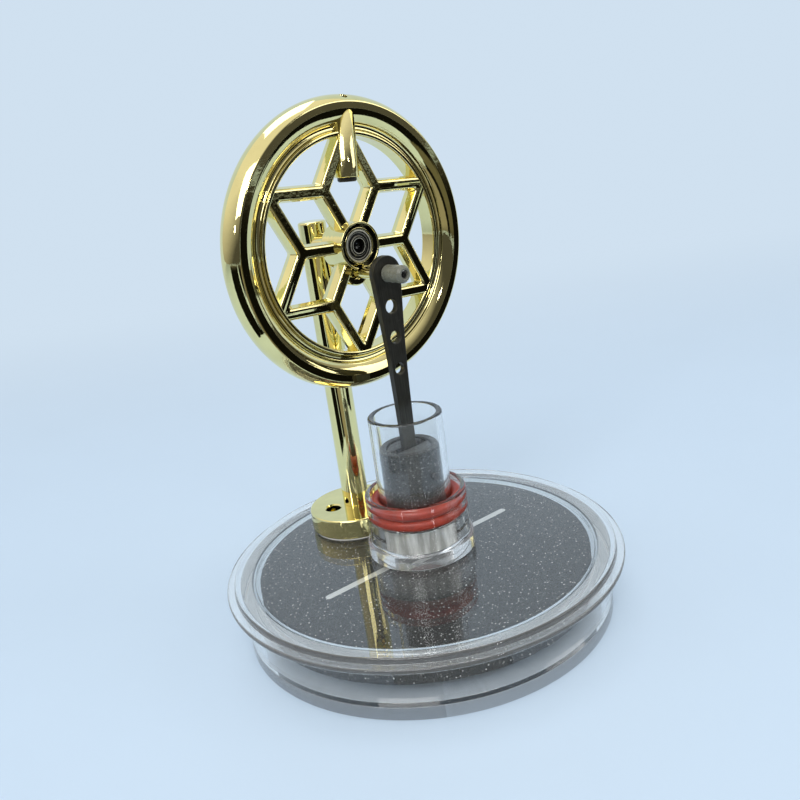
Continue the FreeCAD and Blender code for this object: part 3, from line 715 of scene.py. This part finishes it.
# Chamber
class MakeChamber(bpy.types.Operator):
    """Base plate, clear wall and moulded lid"""

    bl_idname = "engine.chamber"
    bl_label = "Chamber"

    def execute(self, context):
        sizes = context.scene.engine_sizes
        clear = clear_moulding("clear_chamber", 0.0)
        wall_out = ends("chamber_wall", 0)[1]
        low, high = ends("chamber_wall")
        piece = turned("base_disc", solid(wall_out, 0, low - 0.02, 0.3, 0.25), sizes.turns)
        # Painted light: the base gets a pale diffuse share for the glow of its thick clear edge.
        dress(piece, "frame", "clear_plastic", clear_moulding("clear_base", 0.2), "base_plate")
        wall = pipe(WALL_IN, wall_out, low, high - 0.03, 0.1, 0.15, 0.12, 0.12)
        piece = turned("chamber_ring", wall, sizes.turns)
        dress(piece, "frame", "clear_plastic", clear, "chamber_wall")
        top, bore, rim = ends("lid")[1], 6.4, 45.3
        deep, hem, shelf = high - 1.3, high - 0.2, high + 0.95
        lid = [
            (bore, high, 0.1), (WALL_IN - 0.75, high, 0.1), (WALL_IN - 0.75, deep, 0.15),
            (WALL_IN - 0.1, deep, 0.15), (WALL_IN - 0.1, high, 0.05), (wall_out + 0.05, high, 0.05),
            (wall_out + 0.05, hem, 0.1), (rim, hem, 0.5), (rim, shelf, 0.42),
            (rim - 1.8, shelf, 0.2), (rim - 1.8, top, sizes.edge + 0.15), (bore, top, 0.1),
        ]
        piece = turned("lid_cover", lid, sizes.turns, 8)
        dress(piece, "frame", "clear_plastic", clear, "lid")
        # Painted light: the lid's rim gets a pale diffuse share for the glow and highlights of its
        # thick edges.
        pale = clear_moulding("clear_rim", 0.07)
        second_finish(piece, pale, lambda x, y, z: np.hypot(x, y) > WALL_IN)
        return {"FINISHED"}


# Displacer
class MakeDisplacer(bpy.types.Operator):
    """Foam disc with its steel strip"""

    bl_idname = "engine.displacer"
    bl_label = "Displacer"

    def execute(self, context):
        radius, (bottom, top) = 38.0, ends("displacer")
        top -= 0.05
        edge = rounded(solid(radius, bottom, top, 0.5, 0.5), 5)
        steps = (4.0, 12.0, 22.0, 31.0, 35.5, 36.6)
        below = [(r, bottom) for r in steps]
        above = [(r, top) for r in reversed(steps)]
        wall = [(radius, z) for z in np.linspace(bottom + 0.6, top - 0.6, 22)]
        at = int(np.argmax(edge[:, 1] > bottom + 0.55))
        rows = *edge[:1], *below, *edge[1:at], *wall, *edge[at:-1], *above, *edge[-1:]
        grid = revolve(np.array(rows), 720)
        piece = build("foam_disc", [(grid + self.crumbs(grid, radius), True)])
        dress(piece, "displacer", "grey_foam", fine_foam(), "displacer")
        length, half, lean, shift = 53.4, 0.9, math.radians(-3.5), [-0.4, 0.024]
        flat = length / 2 - half
        way = np.linspace(-math.pi / 2, math.pi / 2, 25)
        right = np.stack([flat + half * np.cos(way), half * np.sin(way)], 1)
        outline = spun(np.concatenate([right, -right]), lean) + shift
        low, high = ends("displacer_armature")
        levels = [(0.12, low), (0.0, low + 0.12), (0.0, high - 0.16), (0.05, high - 0.05)]
        levels += [(0.16, high), (0.24, high)]
        piece = build("armature_strip", [(slab(outline, levels), False)])
        strip = sheet_metal("strip_metal", (0.80, 0.80, 0.77), 0.38)
        dress(piece, "displacer", "strip_steel", strip, "displacer_armature")
        return {"FINISHED"}

    def crumbs(self, grid, radius):
        """Torn cells at the cut edge: how far each point of the disc moves.

        A point moves inwards by the depth times a seeded noise from 0 to 1, which is
        averaged with its neighbours'. That fades out from the edge.
        """
        depth, fade = 0.32, 0.8
        noise = np.random.default_rng(7).random(grid.shape[:2])
        noise = (noise + np.roll(noise, 1, 1) + np.roll(noise, 1, 0)) / 3
        flat = grid * [1, 1, 0]
        near = np.clip((np.linalg.norm(flat, axis=-1) - (radius - fade)) / fade, 0, 1)
        return unit(flat) * (-depth * noise * near)[..., None]


# Cylinder
class MakeCylinder(bpy.types.Operator):
    """Clear collar, two rubber rings and the glass tube"""

    bl_idname = "engine.cylinder"
    bl_label = "Cylinder"

    def execute(self, context):
        bore, outer, wide = 6.86, 8.25, 10.25
        seat, foot_top, ledge = 16.6, 18.7, 23.3
        low, high = ends("cylinder_socket")
        low += 0.02
        collar = [
            (bore + 0.04, low, 0.1), (12.2, low, 0.3), (12.2, 18.15, 0.3), (11.65, 18.55, -1),
            (11.5, 19.1, 0.2), (11.5, high, 0.5), (wide, high, 0.25), (wide, ledge, 0.1),
            (outer + 0.03, ledge, 0.1), (outer + 0.03, seat, 0.05), (bore + 0.04, seat, 0.05),
        ]
        piece = turned("cylinder_collar", collar, 224)
        clear = clear_moulding("clear_collar", 0.0)
        dress(piece, "frame", "clear_plastic", clear, "cylinder_socket")
        # Painted light: the collar's foot gets a pale diffuse share for its bright whitish look,
        # which is glow and highlights.
        foot = clear_moulding("clear_foot", 0.2)
        second_finish(piece, foot, lambda x, y, z: (z < foot_top) & (np.hypot(x, y) > 11))
        for name, node in (("upper", "o_ring_upper"), ("lower", "o_ring_lower")):
            ring = self.ring(outer + 0.02, wide + 0.07, *ends(node))
            piece = build("rubber_ring_" + name, [(ring, True)])
            dress(piece, "frame", "red_rubber", moulded_rubber(), node)
        low, high = ends("cylinder_tube")
        low += 0.02
        rows = [(bore, low, 0.15), (outer, low, 0.15), (outer, ledge, -1), (outer, high, 0.45)]
        piece = turned("glass_tube", rows + [(bore, high, 0.45)], 224, 8)
        dress(piece, "frame", "tube_glass", drawn_glass(), "cylinder_tube")
        second_finish(piece, cement_film(), lambda x, y, z: (z < ledge) & (np.hypot(x, y) > 7))
        return {"FINISHED"}

    def ring(self, left, right, low, high):
        """A rubber ring: two arcs over and under short upright sides, carried round."""
        centre, middle = (left + right) / 2, (low + high) / 2
        half = (high - low) / 2
        below, above = middle - 0.2, middle + 0.2
        lower = bow((left, below), (centre, middle - half), (right, below), 20)
        upper = bow((right, above), (centre, middle + half), (left, above), 20)
        return revolve(np.concatenate([lower, [[right, below]], upper, [[left, above]]]), 192)


# Piston
class MakePiston(bpy.types.Operator):
    """Graphite sleeve and slotted plug"""

    bl_idname = "engine.piston"
    bl_label = "Piston"

    def execute(self, context):
        low, high = ends("piston_sleeve")
        step = low + 1.5
        sleeve = [
            (4.2, low, 0.1), (6.8, low, 0.3), (6.8, high, 0.28),
            (5.0, high, 0.25), (5.0, step, 0.1), (4.2, step, 0.1),
        ]
        piece = turned("graphite_sleeve", sleeve)
        dress(piece, "piston", "graphite", lapped_graphite(), "piston_sleeve")
        bottom, top = ends("piston_insert")
        radius, half_slot = 4.96, 0.95
        edge = math.asin(half_slot / radius)
        way = np.linspace(edge, math.pi - edge, 61)
        rows = np.stack([radius * np.cos(way), radius * np.sin(way), np.full(61, -1.0)], 1)
        rows[[0, -1], 2] = 0.12
        levels = [(0.3, bottom + 0.9), (0.0, bottom + 1.0), (0.0, top - 0.3), (0.03, top - 0.13)]
        levels += [(0.1, top - 0.03), (0.25, top), (0.35, top)]
        cheek = slab(rounded(rows, 4), levels)
        disc = revolve(rounded(solid(radius, bottom, bottom + 1, 0.2, 0.1)), 96)
        piece = build("slotted_plug", [(cheek, False), (cheek * [-1, -1, 1], False), (disc, True)])
        cut(piece, turned("pin_way", solid(0.79, -8, 8, 0, 0), 48, height=WRIST_Z))
        dress(piece, "piston", "plug_plastic", plug_plastic(), "piston_insert")
        return {"FINISHED"}


# Rod
class MakeRod(bpy.types.Operator):
    """Tapered strap with its five holes"""

    bl_idname = "engine.rod"
    bl_label = "Connecting rod"

    def execute(self, context):
        eye, eye_half, foot_half = CRANK_Z, 3.64, 1.65
        right = np.concatenate([
            bow((foot_half, 41.0), (1.87, 50.2), (2.2, 59.5)),
            bow((2.2, 59.5), (2.64, 66.0), (3.2, 72.5)),
            [[3.2, 72.5]],
        ])
        over = bow((eye_half, eye - 0.7), (0.0, eye + 3.7), (-eye_half, eye - 0.7), 56)
        left = np.concatenate([[[-eye_half, eye - 0.7]], right[::-1] * [-1, 1]])
        foot = bow((-foot_half, WRIST_Z), (0.0, WRIST_Z - 1.65), (foot_half, WRIST_Z), 24)
        outline = np.concatenate([right, over, left, foot, [[foot_half, WRIST_Z]]])
        levels = [(0.22, -0.75), (0.12, -0.75), (0.03, -0.70), (0.0, -0.60)]
        levels += [(inset, -height) for inset, height in reversed(levels)]
        piece = build("rod_strap", [(along_y(slab(outline, levels)), False)])
        spots = (WRIST_Z, 0.81), (57.7, 1.25), (64.7, 1.35), (71.4, 1.5), (eye, 0.91)
        cut(piece, *[turned("hole", self.drill(radius), 72, height=z) for z, radius in spots])
        dress(piece, "rod", "dark_rod", black_strap(), "connecting_rod")
        return {"FINISHED"}

    def drill(self, radius):
        """A drill's shape: a straight bore that flares at both faces of the strap."""
        half = [(radius, 0.57, -1), (radius + 0.2, 0.75, -1), (radius + 1.45, 2, -1), (0, 2, -1)]
        return [(r, -height, edge) for r, height, edge in reversed(half)] + half


# Flywheel
def rim_profile(crown):
    """The rim's section: a bead, a deep channel, a swelling side and a flat lip.

    Each part is an arc through three points of (radius past the rim's inner one,
    distance from the rim's middle plane), in so many steps. The back mirrors the
    front, and one arc is the crown.
    """
    inner, shoulder = 22.6, (6.93, 3.29)
    arcs = (
        ((0, 1.62), (0.1, 2.02), (0.42, 2.2), 8),
        ((0.44, 2.2), (0.62, 2.22), (0.8, 2.2), 4),
        ((0.82, 2.195), (0.93, 2.14), (0.99, 2.02), 6),
        ((0.99, 2.02), (1.78, 1.3), (2.6, 1.9), 20),
        ((2.6, 1.9), (2.68, 2.08), (2.84, 2.2), 6),
        ((2.84, 2.2), (3.85, 2.97), (4.95, 3.44), 16),
        ((4.95, 3.44), (5.15, 3.5), (5.35, 3.5), 6),
    )
    side = [bow(*arc) for arc in arcs]
    lip = [[[5.4, 3.5], [6.5, 3.5]], bow((6.52, 3.5), (6.76, 3.44), shoulder, 6)]
    front = np.concatenate(side + lip)
    top = bow(shoulder, (crown - inner, 0.0), (shoulder[0], -shoulder[1]), 48)
    back = np.concatenate([[shoulder], front[::-1]]) * [1, -1]
    return np.concatenate([front, top, back]) + [inner, -WEB_MIDDLE]


class MakeRim(bpy.types.Operator):
    """Turned rim of the flywheel"""

    bl_idname = "engine.rim"
    bl_label = "Flywheel rim"

    def execute(self, context):
        left, right = ends("flywheel", 0)
        grid = revolve(rim_profile((right - left) / 2), context.scene.engine_sizes.turns)
        piece = build("wheel_rim", [(on_wheel(grid), True)])
        way = [(0, -6, -1), (1.0, -6, 0), (0.8, -4.2, 0.1), (0.8, 4.5, 0), (0, 4.5, -1)]
        drill, out, up = revolve(rounded(way), 48), 26.2, 1.2
        drill = np.stack([drill[..., 0], out - drill[..., 2], up + drill[..., 1]], -1)
        cut(piece, build("drilling", [(on_wheel(drill), True)]))
        dress(piece, "wheel", "champagne_metal", plated_gold(), "flywheel")
        return {"FINISHED"}


def arm_outline(width):
    """One spoke and its two star bars for a half width, mitred at the star's tips.

    The spoke lies along X and its bars leave it at 60 degrees on either side. They
    are cut on the line at 30 degrees, where the next arm's bars meet them, and end
    in the rim. The window's tip is an arc whose centre is on that line: its radius
    is t, and the tip moves by t towards the hub.
    """
    vertex, stop, start, t = 13.7, 23.2, 4.25, 0.5
    tip = vertex * math.sqrt(3) - 2 * width
    c, s = math.cos(math.radians(30)), 0.5
    outer = np.array([vertex + width / c, 0.0])
    along = np.array([s, c])
    dot = outer @ along
    end = outer + (math.sqrt(dot * dot - outer @ outer + stop * stop) - dot) * along
    way = np.radians(np.linspace(30, -30, 9))[:, None]
    arc = (tip - 2 * t) * np.array([c, s]) + t * np.concatenate([np.cos(way), np.sin(way)], 1)
    upper = np.concatenate([
        [[*end, -1.0], [stop * c, stop * s, -1.0]],
        np.insert(arc, 2, -1.0, axis=1),
        [[vertex - width * math.tan(math.radians(30)), width, 0.7], [start, width, -1.0]],
    ])
    lower = upper[::-1] * [1, -1, 1]
    return rounded(np.concatenate([lower, [[*outer, 0.8]], upper]), 6)


class MakeStar(bpy.types.Operator):
    """Six spokes and the star's bars"""

    bl_idname = "engine.star"
    bl_label = "Flywheel star"

    def execute(self, context):
        sizes = context.scene.engine_sizes
        half, web = sizes.bar_half, sizes.web_half
        flat = half - web * math.tan(sizes.bar_draft)
        rows = [(flat, web, 0.8), (half, 0.0, 0.5), (flat, -web, 0.8), (0, -web, -1), (0, web, -1)]
        ring = rounded(rows, 8)
        ring = ring[ring[:, 0] > 0.38 * flat]
        ring = ring[np.argsort(-ring[:, 1], kind="stable")]
        core = 0.33 * flat
        levels = []
        for width, height in [(core, web), *ring, (core, -web)]:
            outline = arm_outline(width)
            levels.append(np.insert(outline, 2, height - WEB_MIDDLE, axis=1))
        arms = [spun(np.stack(levels), math.radians(60 * n)) for n in range(6)]
        piece = build("wheel_star", [(on_wheel(arm), False) for arm in arms])
        steady(piece, 50)
        dress(piece, "wheel", "champagne_metal", plated_gold("plated_gold_web", 1.0), "flywheel")
        return {"FINISHED"}


class MakeHub(bpy.types.Operator):
    """Hub, crank lobe and balance boss"""

    bl_idname = "engine.hub"
    bl_label = "Flywheel hub"

    def execute(self, context):
        gold = plated_gold("plated_gold_web", 1.0)
        hub = [
            (3.51, 2.3, 0.06), (3.9, 2.3, 0.1), (3.92, 0.3, 0.1), (4.63, 0.3, 0.15),
            (4.68, 2.7, 0.16), (5.15, 2.7, 0.2), (5.15, -4.8, 0.4),
            (2.75, -4.8, 0.15), (2.75, -0.9, 0.05), (3.51, -0.9, 0.05),
        ]
        piece = build("wheel_hub", [(on_wheel(revolve(rounded(hub), 160)), True)])
        self.sink_crank(piece, -0.2)
        dress(piece, "wheel", "champagne_metal", gold, "flywheel")
        # Painted shade: the groove's faces get a near-black finish for the shade in the groove.
        dark = sheet_metal("groove_shadow", (0.018, 0.017, 0.012), 0.4)
        second_finish(piece, dark, self.groove)
        piece = build("wheel_lobe", [(self.lobe(), False)])
        self.sink_crank(piece, -0.55)
        dress(piece, "wheel", "champagne_metal", gold, "flywheel")
        boss = revolve(rounded(pipe(2.08, 2.6, 14.2, 28.5, 0.12, 0.3, -1, -1)), 96)
        boss = np.stack([boss[..., 0], boss[..., 2], boss[..., 1]], -1)
        piece = build("wheel_boss", [(on_wheel(boss), True)])
        dress(piece, "wheel", "champagne_metal", gold, "flywheel")
        return {"FINISHED"}

    def sink_crank(self, piece, depth):
        """Sinks the crank tube's seat into a piece."""
        seat = solid(1.75, depth, 3.5, 0.1, 0)
        cut(piece, turned("seat", seat, 64, height=CRANK_Z, y=WHEEL_Y))

    def groove(self, x, y, z):
        """Which faces line the dark groove round the bearing's seat."""
        r = np.hypot(x, z - WHEEL_Z)
        return (r > 3.88) & (r < 4.68) & (y < WHEEL_Y - 0.1)

    def lobe(self):
        """The crank lobe: a tapering tongue with a round end, rounded at both faces."""
        way, end, root = np.linspace(math.pi, 2 * math.pi, 41), 3.1, (3.0, -3.7)
        tip = np.stack([end * np.cos(way), end * np.sin(way) - (WHEEL_Z - CRANK_Z)], 1)
        outline = spun(np.concatenate([[[-root[0], root[1]]], tip, [root]]), -WHEEL_TURN)
        front, back = 0.1, -4.3
        levels = [(0.5, front), (0.3, front), (0.09, front - 0.09), (0.0, front - 0.3)]
        levels += [(0.0, back + 0.3), (0.09, back + 0.09), (0.3, back), (0.5, back)]
        return on_wheel(slab(outline, levels))


# Crank and bearing
class MakeCrank(bpy.types.Operator):
    """Crank pin, its distance tube and the soft sleeve that keeps the rod on"""

    bl_idname = "engine.crank"
    bl_label = "Crank"

    def execute(self, context):
        steel = turned_steel("pin_steel", 0.66, -CRANK_Z)
        sleeve = [(0.92, 0.78, 0.1), (1.85, 0.78, 0.3), (1.87, 5.75, 0.5), (1.3, 6.39, 0.25)]
        sleeve += [(0.92, 6.3, 0.1)]
        tube = pipe(CRANK_RADIUS + 0.01, 1.4, -9.38, -0.9, 0.1, 0.12, 0.15, 0.1)
        pin = solid(CRANK_RADIUS, -0.74, 6.0, 0.08, 0.2)
        stud = solid(CRANK_RADIUS, -12.2, -0.95, 0.15, 0.1)
        for name, rows, turns, body, slot, material, node in (
            ("pin_turned", pin, 96, "rod", "bright_steel", steel, "crank_pin"),
            ("soft_sleeve", sleeve, 128, "rod", "grey_sleeve", milky_sleeve(), "retaining_sleeve"),
            ("stud_turned", stud, 96, "wheel", "bright_steel", steel, "crank_stud"),
            ("crank_tube", tube, 96, "wheel", "champagne_metal", plated_gold(), "crank_spacer"),
        ):
            dress(turned(name, rows, turns, height=CRANK_Z), body, slot, material, node)
        return {"FINISHED"}


class MakeBearing(bpy.types.Operator):
    """Rings and shields of the ball bearing, the axle and its distance tube"""

    bl_idname = "engine.bearing"
    bl_label = "Bearing and axle"

    def execute(self, context):
        face, half, groove = bearing_face(), 1.5, 0.31
        middle = sum(ends("bearing_outer_race", 1)) / 2
        outer = [
            (2.93, -half, 0.08), (3.5, -half, 0.22), (3.5, half, 0.22),
            (2.93, half, 0.08), (2.93, groove, 0.02), (3.0, 0.2, -1),
            (3.03, 0.0, -1), (3.0, -0.2, -1), (2.93, -groove, 0.02),
        ]
        inner = [
            (1.5, -half, 0.1), (2.07, -half, 0.08), (2.07, -groove, 0.02),
            (2.0, -0.2, -1), (1.97, 0.0, -1), (2.0, 0.2, -1),
            (2.07, groove, 0.02), (2.07, half, 0.08), (1.5, half, 0.1),
        ]
        tail, nose = (WHEEL_Y - y for y in reversed(ends("axle", 1)))
        axle = [(0, tail, -1), (1.49, tail, 0.2), (1.49, nose, 0.25), (0.6, nose, 0.05)]
        axle += [(0.0, nose - 0.3, -1)]
        tube = pipe(1.52, 2.3, -6.1, -0.9, 0.08, 0.12, 0.12, 0.08)
        # Painted shade: the axle's steel is near black, for the dark core of the bearing where its
        # end sits recessed.
        steel = turned_steel("axle_steel", 0.07, -WHEEL_Z)
        front, rear = self.shield(1.12), self.shield(-1.30)
        for name, rows, body, slot, node in (
            ("race_outer", outer, "wheel", "bearing_steel", "bearing_outer_race"),
            ("race_inner", inner, "frame", "bearing_steel", "bearing_inner_race"),
            ("pressed_shield_front", front, "wheel", "shield_steel", "bearing_shield_front"),
            ("pressed_shield_rear", rear, "wheel", "shield_steel", "bearing_shield_rear"),
        ):
            dress(turned(name, rows, 128, height=WHEEL_Z, y=middle), body, slot, face, node)
        for name, rows, slot, material, node in (
            ("axle_turned", axle, "bright_steel", steel, "axle"),
            ("axle_tube", tube, "champagne_metal", plated_gold(), "axle_spacer"),
        ):
            dress(turned(name, rows, 96, height=WHEEL_Z, y=WHEEL_Y), "frame", slot, material, node)
        return {"FINISHED"}

    def shield(self, at):
        """A pressed shield's rows: a thin ring, stepped in the middle, at a depth."""
        step, rim = at + 0.12, at + 0.18
        return [
            (2.14, at, 0.04), (2.30, at + 0.02, -1), (2.92, at, 0.04),
            (2.92, rim, 0.04), (2.75, rim, 0.03), (2.62, step, 0.03),
            (2.36, step, 0.03), (2.26, rim, 0.03), (2.14, rim, 0.04),
        ]


# Column
class MakeColumn(bpy.types.Operator):
    """Column with its axle arm, drilled foot and white pad"""

    bl_idname = "engine.column"
    bl_label = "Column and foot"

    def execute(self, context):
        gold = plated_gold("plated_gold_column", 0.1)
        low, shoulder, top = 16.6, 20.0, ends("column")[1]
        stub, radius = 1.9, 3.2
        post = [
            (0, low, -1), (stub, low, 0.2), (stub, shoulder, 0.05),
            (radius, shoulder, 0.1), (radius, top, 0.55), (0, top, -1),
        ]
        post = revolve(rounded(post, 8), 160) + [0, COLUMN_Y, 0]
        arm = pipe(1.5, 2.6, 1.0, COLUMN_Y - 15.65, 0.0, 0.0, 0.3, 0.15)
        arm = along_y(revolve(rounded(arm, 8), 128), WHEEL_Z, COLUMN_Y)
        piece = build("column_post", [(post, True), (arm, True)])
        dress(piece, "frame", "champagne_metal", gold, "column")
        low, high = ends("column_foot")
        piece = turned("foot_disc", solid(10.8, low, high, 0.5, 0.45), 224, 8, x=FOOT_X, y=COLUMN_Y)
        way = turned("stub_way", self.drill(stub + 0.02, 16.5, high + 1, 0.0), 64, y=COLUMN_Y)
        hole = self.drill(1.85, high - 4, high, 0.3)
        hole = turned("hole", hole, 64, x=FOOT_X - 4.95, y=COLUMN_Y + 1.8)
        cut(piece, way, hole)
        dress(piece, "frame", "champagne_metal", gold, "column_foot")
        low, high = ends("foot_pad")
        pad = solid(10.25, low + 0.01, high - 0.01, 0.08, 0.08)
        pad = turned("pad_disc", pad, 128, x=FOOT_X - 0.25, y=COLUMN_Y - 0.25)
        dress(pad, "frame", "white_pad", paper_pad(), "foot_pad")
        return {"FINISHED"}

    def drill(self, radius, low, high, sink):
        """A drill's shape: a straight bore that flares at its mouth by sink."""
        mouth = high + sink
        return [
            (0, low, -1), (radius, low, -1), (radius, high - sink, -1),
            (radius + 2 * sink, mouth, -1), (0, mouth, -1),
        ]


# CAD nodes that stay
class DressFrame(bpy.types.Operator):
    """Finishes for the CAD nodes that are shown as they are"""

    bl_idname = "engine.dress_frame"
    bl_label = "Carried-over nodes"

    def execute(self, context):
        wanted = {
            "balance_weight": sheet_metal("slug_metal", (0.05, 0.048, 0.045), 0.3),
            "wrist_pin": turned_steel("wrist_steel", 0.60, -WRIST_Z),
            "piston_magnet": sheet_metal("nickel_plate", (0.60, 0.59, 0.56), 0.15),
            "axle_set_screw": turned_steel("screw_steel", 0.35, -WHEEL_Z),
            "bearing_balls": turned_steel("ball_steel", 0.7, -WHEEL_Z, 0.5),
            "bearing_cage": sheet_metal("cage_brass", (0.55, 0.38, 0.13), 0.25),
        }
        for name, material in wanted.items():
            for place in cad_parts[name].material_slots:
                place.material = material
        return {"FINISHED"}


# Stage
class MakeStage(bpy.types.Operator):
    """Paper sweep, lamps, world and the camera at the photograph's angle"""

    bl_idname = "engine.stage"
    bl_label = "Stage"

    def execute(self, context):
        scene = context.scene
        key = scene.engine_stage.key
        for prop, material in ((self.sweep(), studio_paper()), (self.cards(), dark_felt())):
            prop.data.materials.append(material)
        for name, power, size, spot in (
            ("key", key, 0.55, (-0.62, -0.35, 0.72)),
            ("fill", key * 0.42, 0.50, (0.62, -0.60, 0.42)),
            ("top", key * 0.40, 0.45, (0.10, 0.25, 0.85)),
            ("glint", key * 0.10, 0.07, (-0.10, -0.85, 0.42)),
            ("glint_left", key * 0.06, 0.06, (-0.88, -0.20, 0.40)),
        ):
            lamp = bpy.data.lights.new(name, "AREA")
            lamp.energy, lamp.size = power, size
            back = -unit(np.array([0, 0, 0.05]) - spot)
            self.place(name, lamp, unit(np.cross((0, 0, 1), back)), back, spot)
        scene.world = bpy.data.worlds.new("room")
        scene.world.use_nodes = True
        self.sky(scene.world.node_tree)
        self.camera(scene)
        scene.view_settings.view_transform = "Standard"
        return {"FINISHED"}

    def place(self, name, data, right, back, spot):
        """Puts a lamp or the camera at a spot, from its right and backward directions."""
        holder = bpy.data.objects.new(name, data)
        bpy.context.scene.collection.objects.link(holder)
        whole = np.eye(4)
        whole[:3] = np.stack([right, np.cross(back, right), back, spot], 1)
        holder.matrix_world = Matrix(whole.tolist())
        return holder

    def sky(self, tree):
        """A plain room: pale overhead and behind, dim low down at the front, by direction.

        Reflections see it a little warmer. The camera and clear pieces see the
        paper's colour in its place.
        """
        n = Nodes(tree)
        lean = n.towards(n.give("TexCoord", "Generated", {}), (0.0, 0.40, 1.0))
        ramp = n.node("ValToRGB", {0: lean})
        dim, pale = ramp.color_ramp.elements
        dim.position, dim.color = 0.0, (0.07, 0.075, 0.08, 1)
        pale.position, pale.color = 0.75, (0.80, 0.84, 0.88, 1)
        path = n.node("LightPath", {}).outputs
        warm = n.blend(path["Is Glossy Ray"], ramp.outputs[0], (1.12, 1.04, 0.94), "MULTIPLY")
        seen = n.maths("MAXIMUM", path["Is Camera Ray"], path["Is Transmission Ray"])
        paper = tuple(bpy.context.scene.engine_stage.paper)
        n.feed(tree.nodes["Background"], 0, n.blend(seen, warm, paper))

    def sweep(self):
        """A floor that curves up behind the engine into a wall.

        Along the first parameter the sheet runs flat from the front, then round a
        quarter circle and straight up. Along the second it runs across.
        """
        start, radius, reach, half = 900, 700, 2600, 3200
        flat = np.stack([np.linspace(-reach, start, 40), np.zeros(40)], 1)
        a = np.linspace(0, math.pi / 2, 24)
        bend = np.stack([start + radius * np.sin(a), radius - radius * np.cos(a)], 1)[1:]
        wall = np.stack([np.full(10, start + radius), np.linspace(radius + 60, reach, 10)], 1)
        line = np.concatenate([flat, bend, wall])[:, None]
        across = np.linspace(-half, half, 33)[None]
        grid = np.stack(np.broadcast_arrays(across, line[..., 0], line[..., 1]), -1)
        grid = spun(grid, math.radians(AZIMUTH))
        made = put("paper_sweep", grid.reshape(-1, 3), quads(*grid.shape[:2]))
        smooth(made.data)
        return made

    def cards(self):
        """Dark cards that lie on the floor, which only reflections see.

        Each is a sector: its middle heading and half width in degrees, and its near
        and far distances from the engine.
        """
        sectors = (-50, 24, 120, 2400), (-84.5, 10.5, 105, 1400), (-100, 5, 100, 2400)
        sectors += (-124.5, 19.5, 50, 1400), (-152, 8, 90, 2400), (178, 18, 90, 2400)
        points, faces = [], []
        for middle, half, near, far in sectors:
            way = np.radians([middle - half, middle, middle + half])
            ring = np.stack([np.cos(way), np.sin(way), 0 * way], 1)
            n = len(points)
            points += (np.concatenate([near * ring, far * ring]) + [0, 0, 2.0]).tolist()
            faces += [(n, n + 3, n + 4, n + 1), (n + 1, n + 4, n + 5, n + 2)]
        made = put("dark_cards", points, faces)
        for way in ("camera", "diffuse", "shadow", "transmission"):
            setattr(made, "visible_" + way, False)
        return made

    def camera(self, scene):
        """The camera fitted to the photograph: azimuth, elevation, roll and place."""
        azimuth, elevation, roll = (math.radians(a) for a in (AZIMUTH, ELEVATION, ROLL))
        right = np.array([math.cos(azimuth), math.sin(azimuth), 0])
        low = math.cos(elevation)
        back = np.array([math.sin(azimuth) * low, -math.cos(azimuth) * low, math.sin(elevation)])
        across = math.cos(roll) * right + math.sin(roll) * np.cross(back, right)
        data = bpy.data.cameras.new("camera")
        data.lens, data.sensor_width, data.clip_start = scene.engine_stage.lens, 36, 0.01
        scene.camera = self.place("camera", data, across, back, np.array(CAMERA_PLACE) * MM)


class EnginePanel(bpy.types.Panel):
    """Pieces of the engine, and their sizes and colours"""

    bl_idname = "VIEW3D_PT_engine"
    bl_label = "Hot-air engine"
    bl_space_type = "VIEW_3D"
    bl_region_type = "UI"
    bl_category = "Engine"

    def draw(self, context):
        for group in GROUPS:
            settings = getattr(context.scene, group)
            for key in settings.__annotations__:
                self.layout.prop(settings, key)
        for maker in MAKERS:
            self.layout.operator(maker.bl_idname)


MAKERS = (
    MakeStage, MakeChamber, MakeDisplacer, MakeCylinder, MakePiston, MakeRod, MakeRim,
    MakeStar, MakeHub, MakeCrank, MakeBearing, MakeColumn, DressFrame,
)
GROUPS = {
    "engine_colours": EngineColours,
    "engine_sizes": EngineSizes,
    "engine_stage": EngineStage,
}


def register():
    for item in (*GROUPS.values(), *MAKERS, EnginePanel):
        bpy.utils.register_class(item)
    for name, group in GROUPS.items():
        setattr(bpy.types.Scene, name, bpy.props.PointerProperty(type=group))


def unregister():
    for name in GROUPS:
        delattr(bpy.types.Scene, name)
    for item in reversed((*GROUPS.values(), *MAKERS, EnginePanel)):
        bpy.utils.unregister_class(item)


def main():
    """Builds every piece in order and writes the two boxes."""
    register()
    for maker in MAKERS:
        group, name = maker.bl_idname.split(".")
        getattr(getattr(bpy.ops, group), name)()


if __name__ == "__main__":
    main()
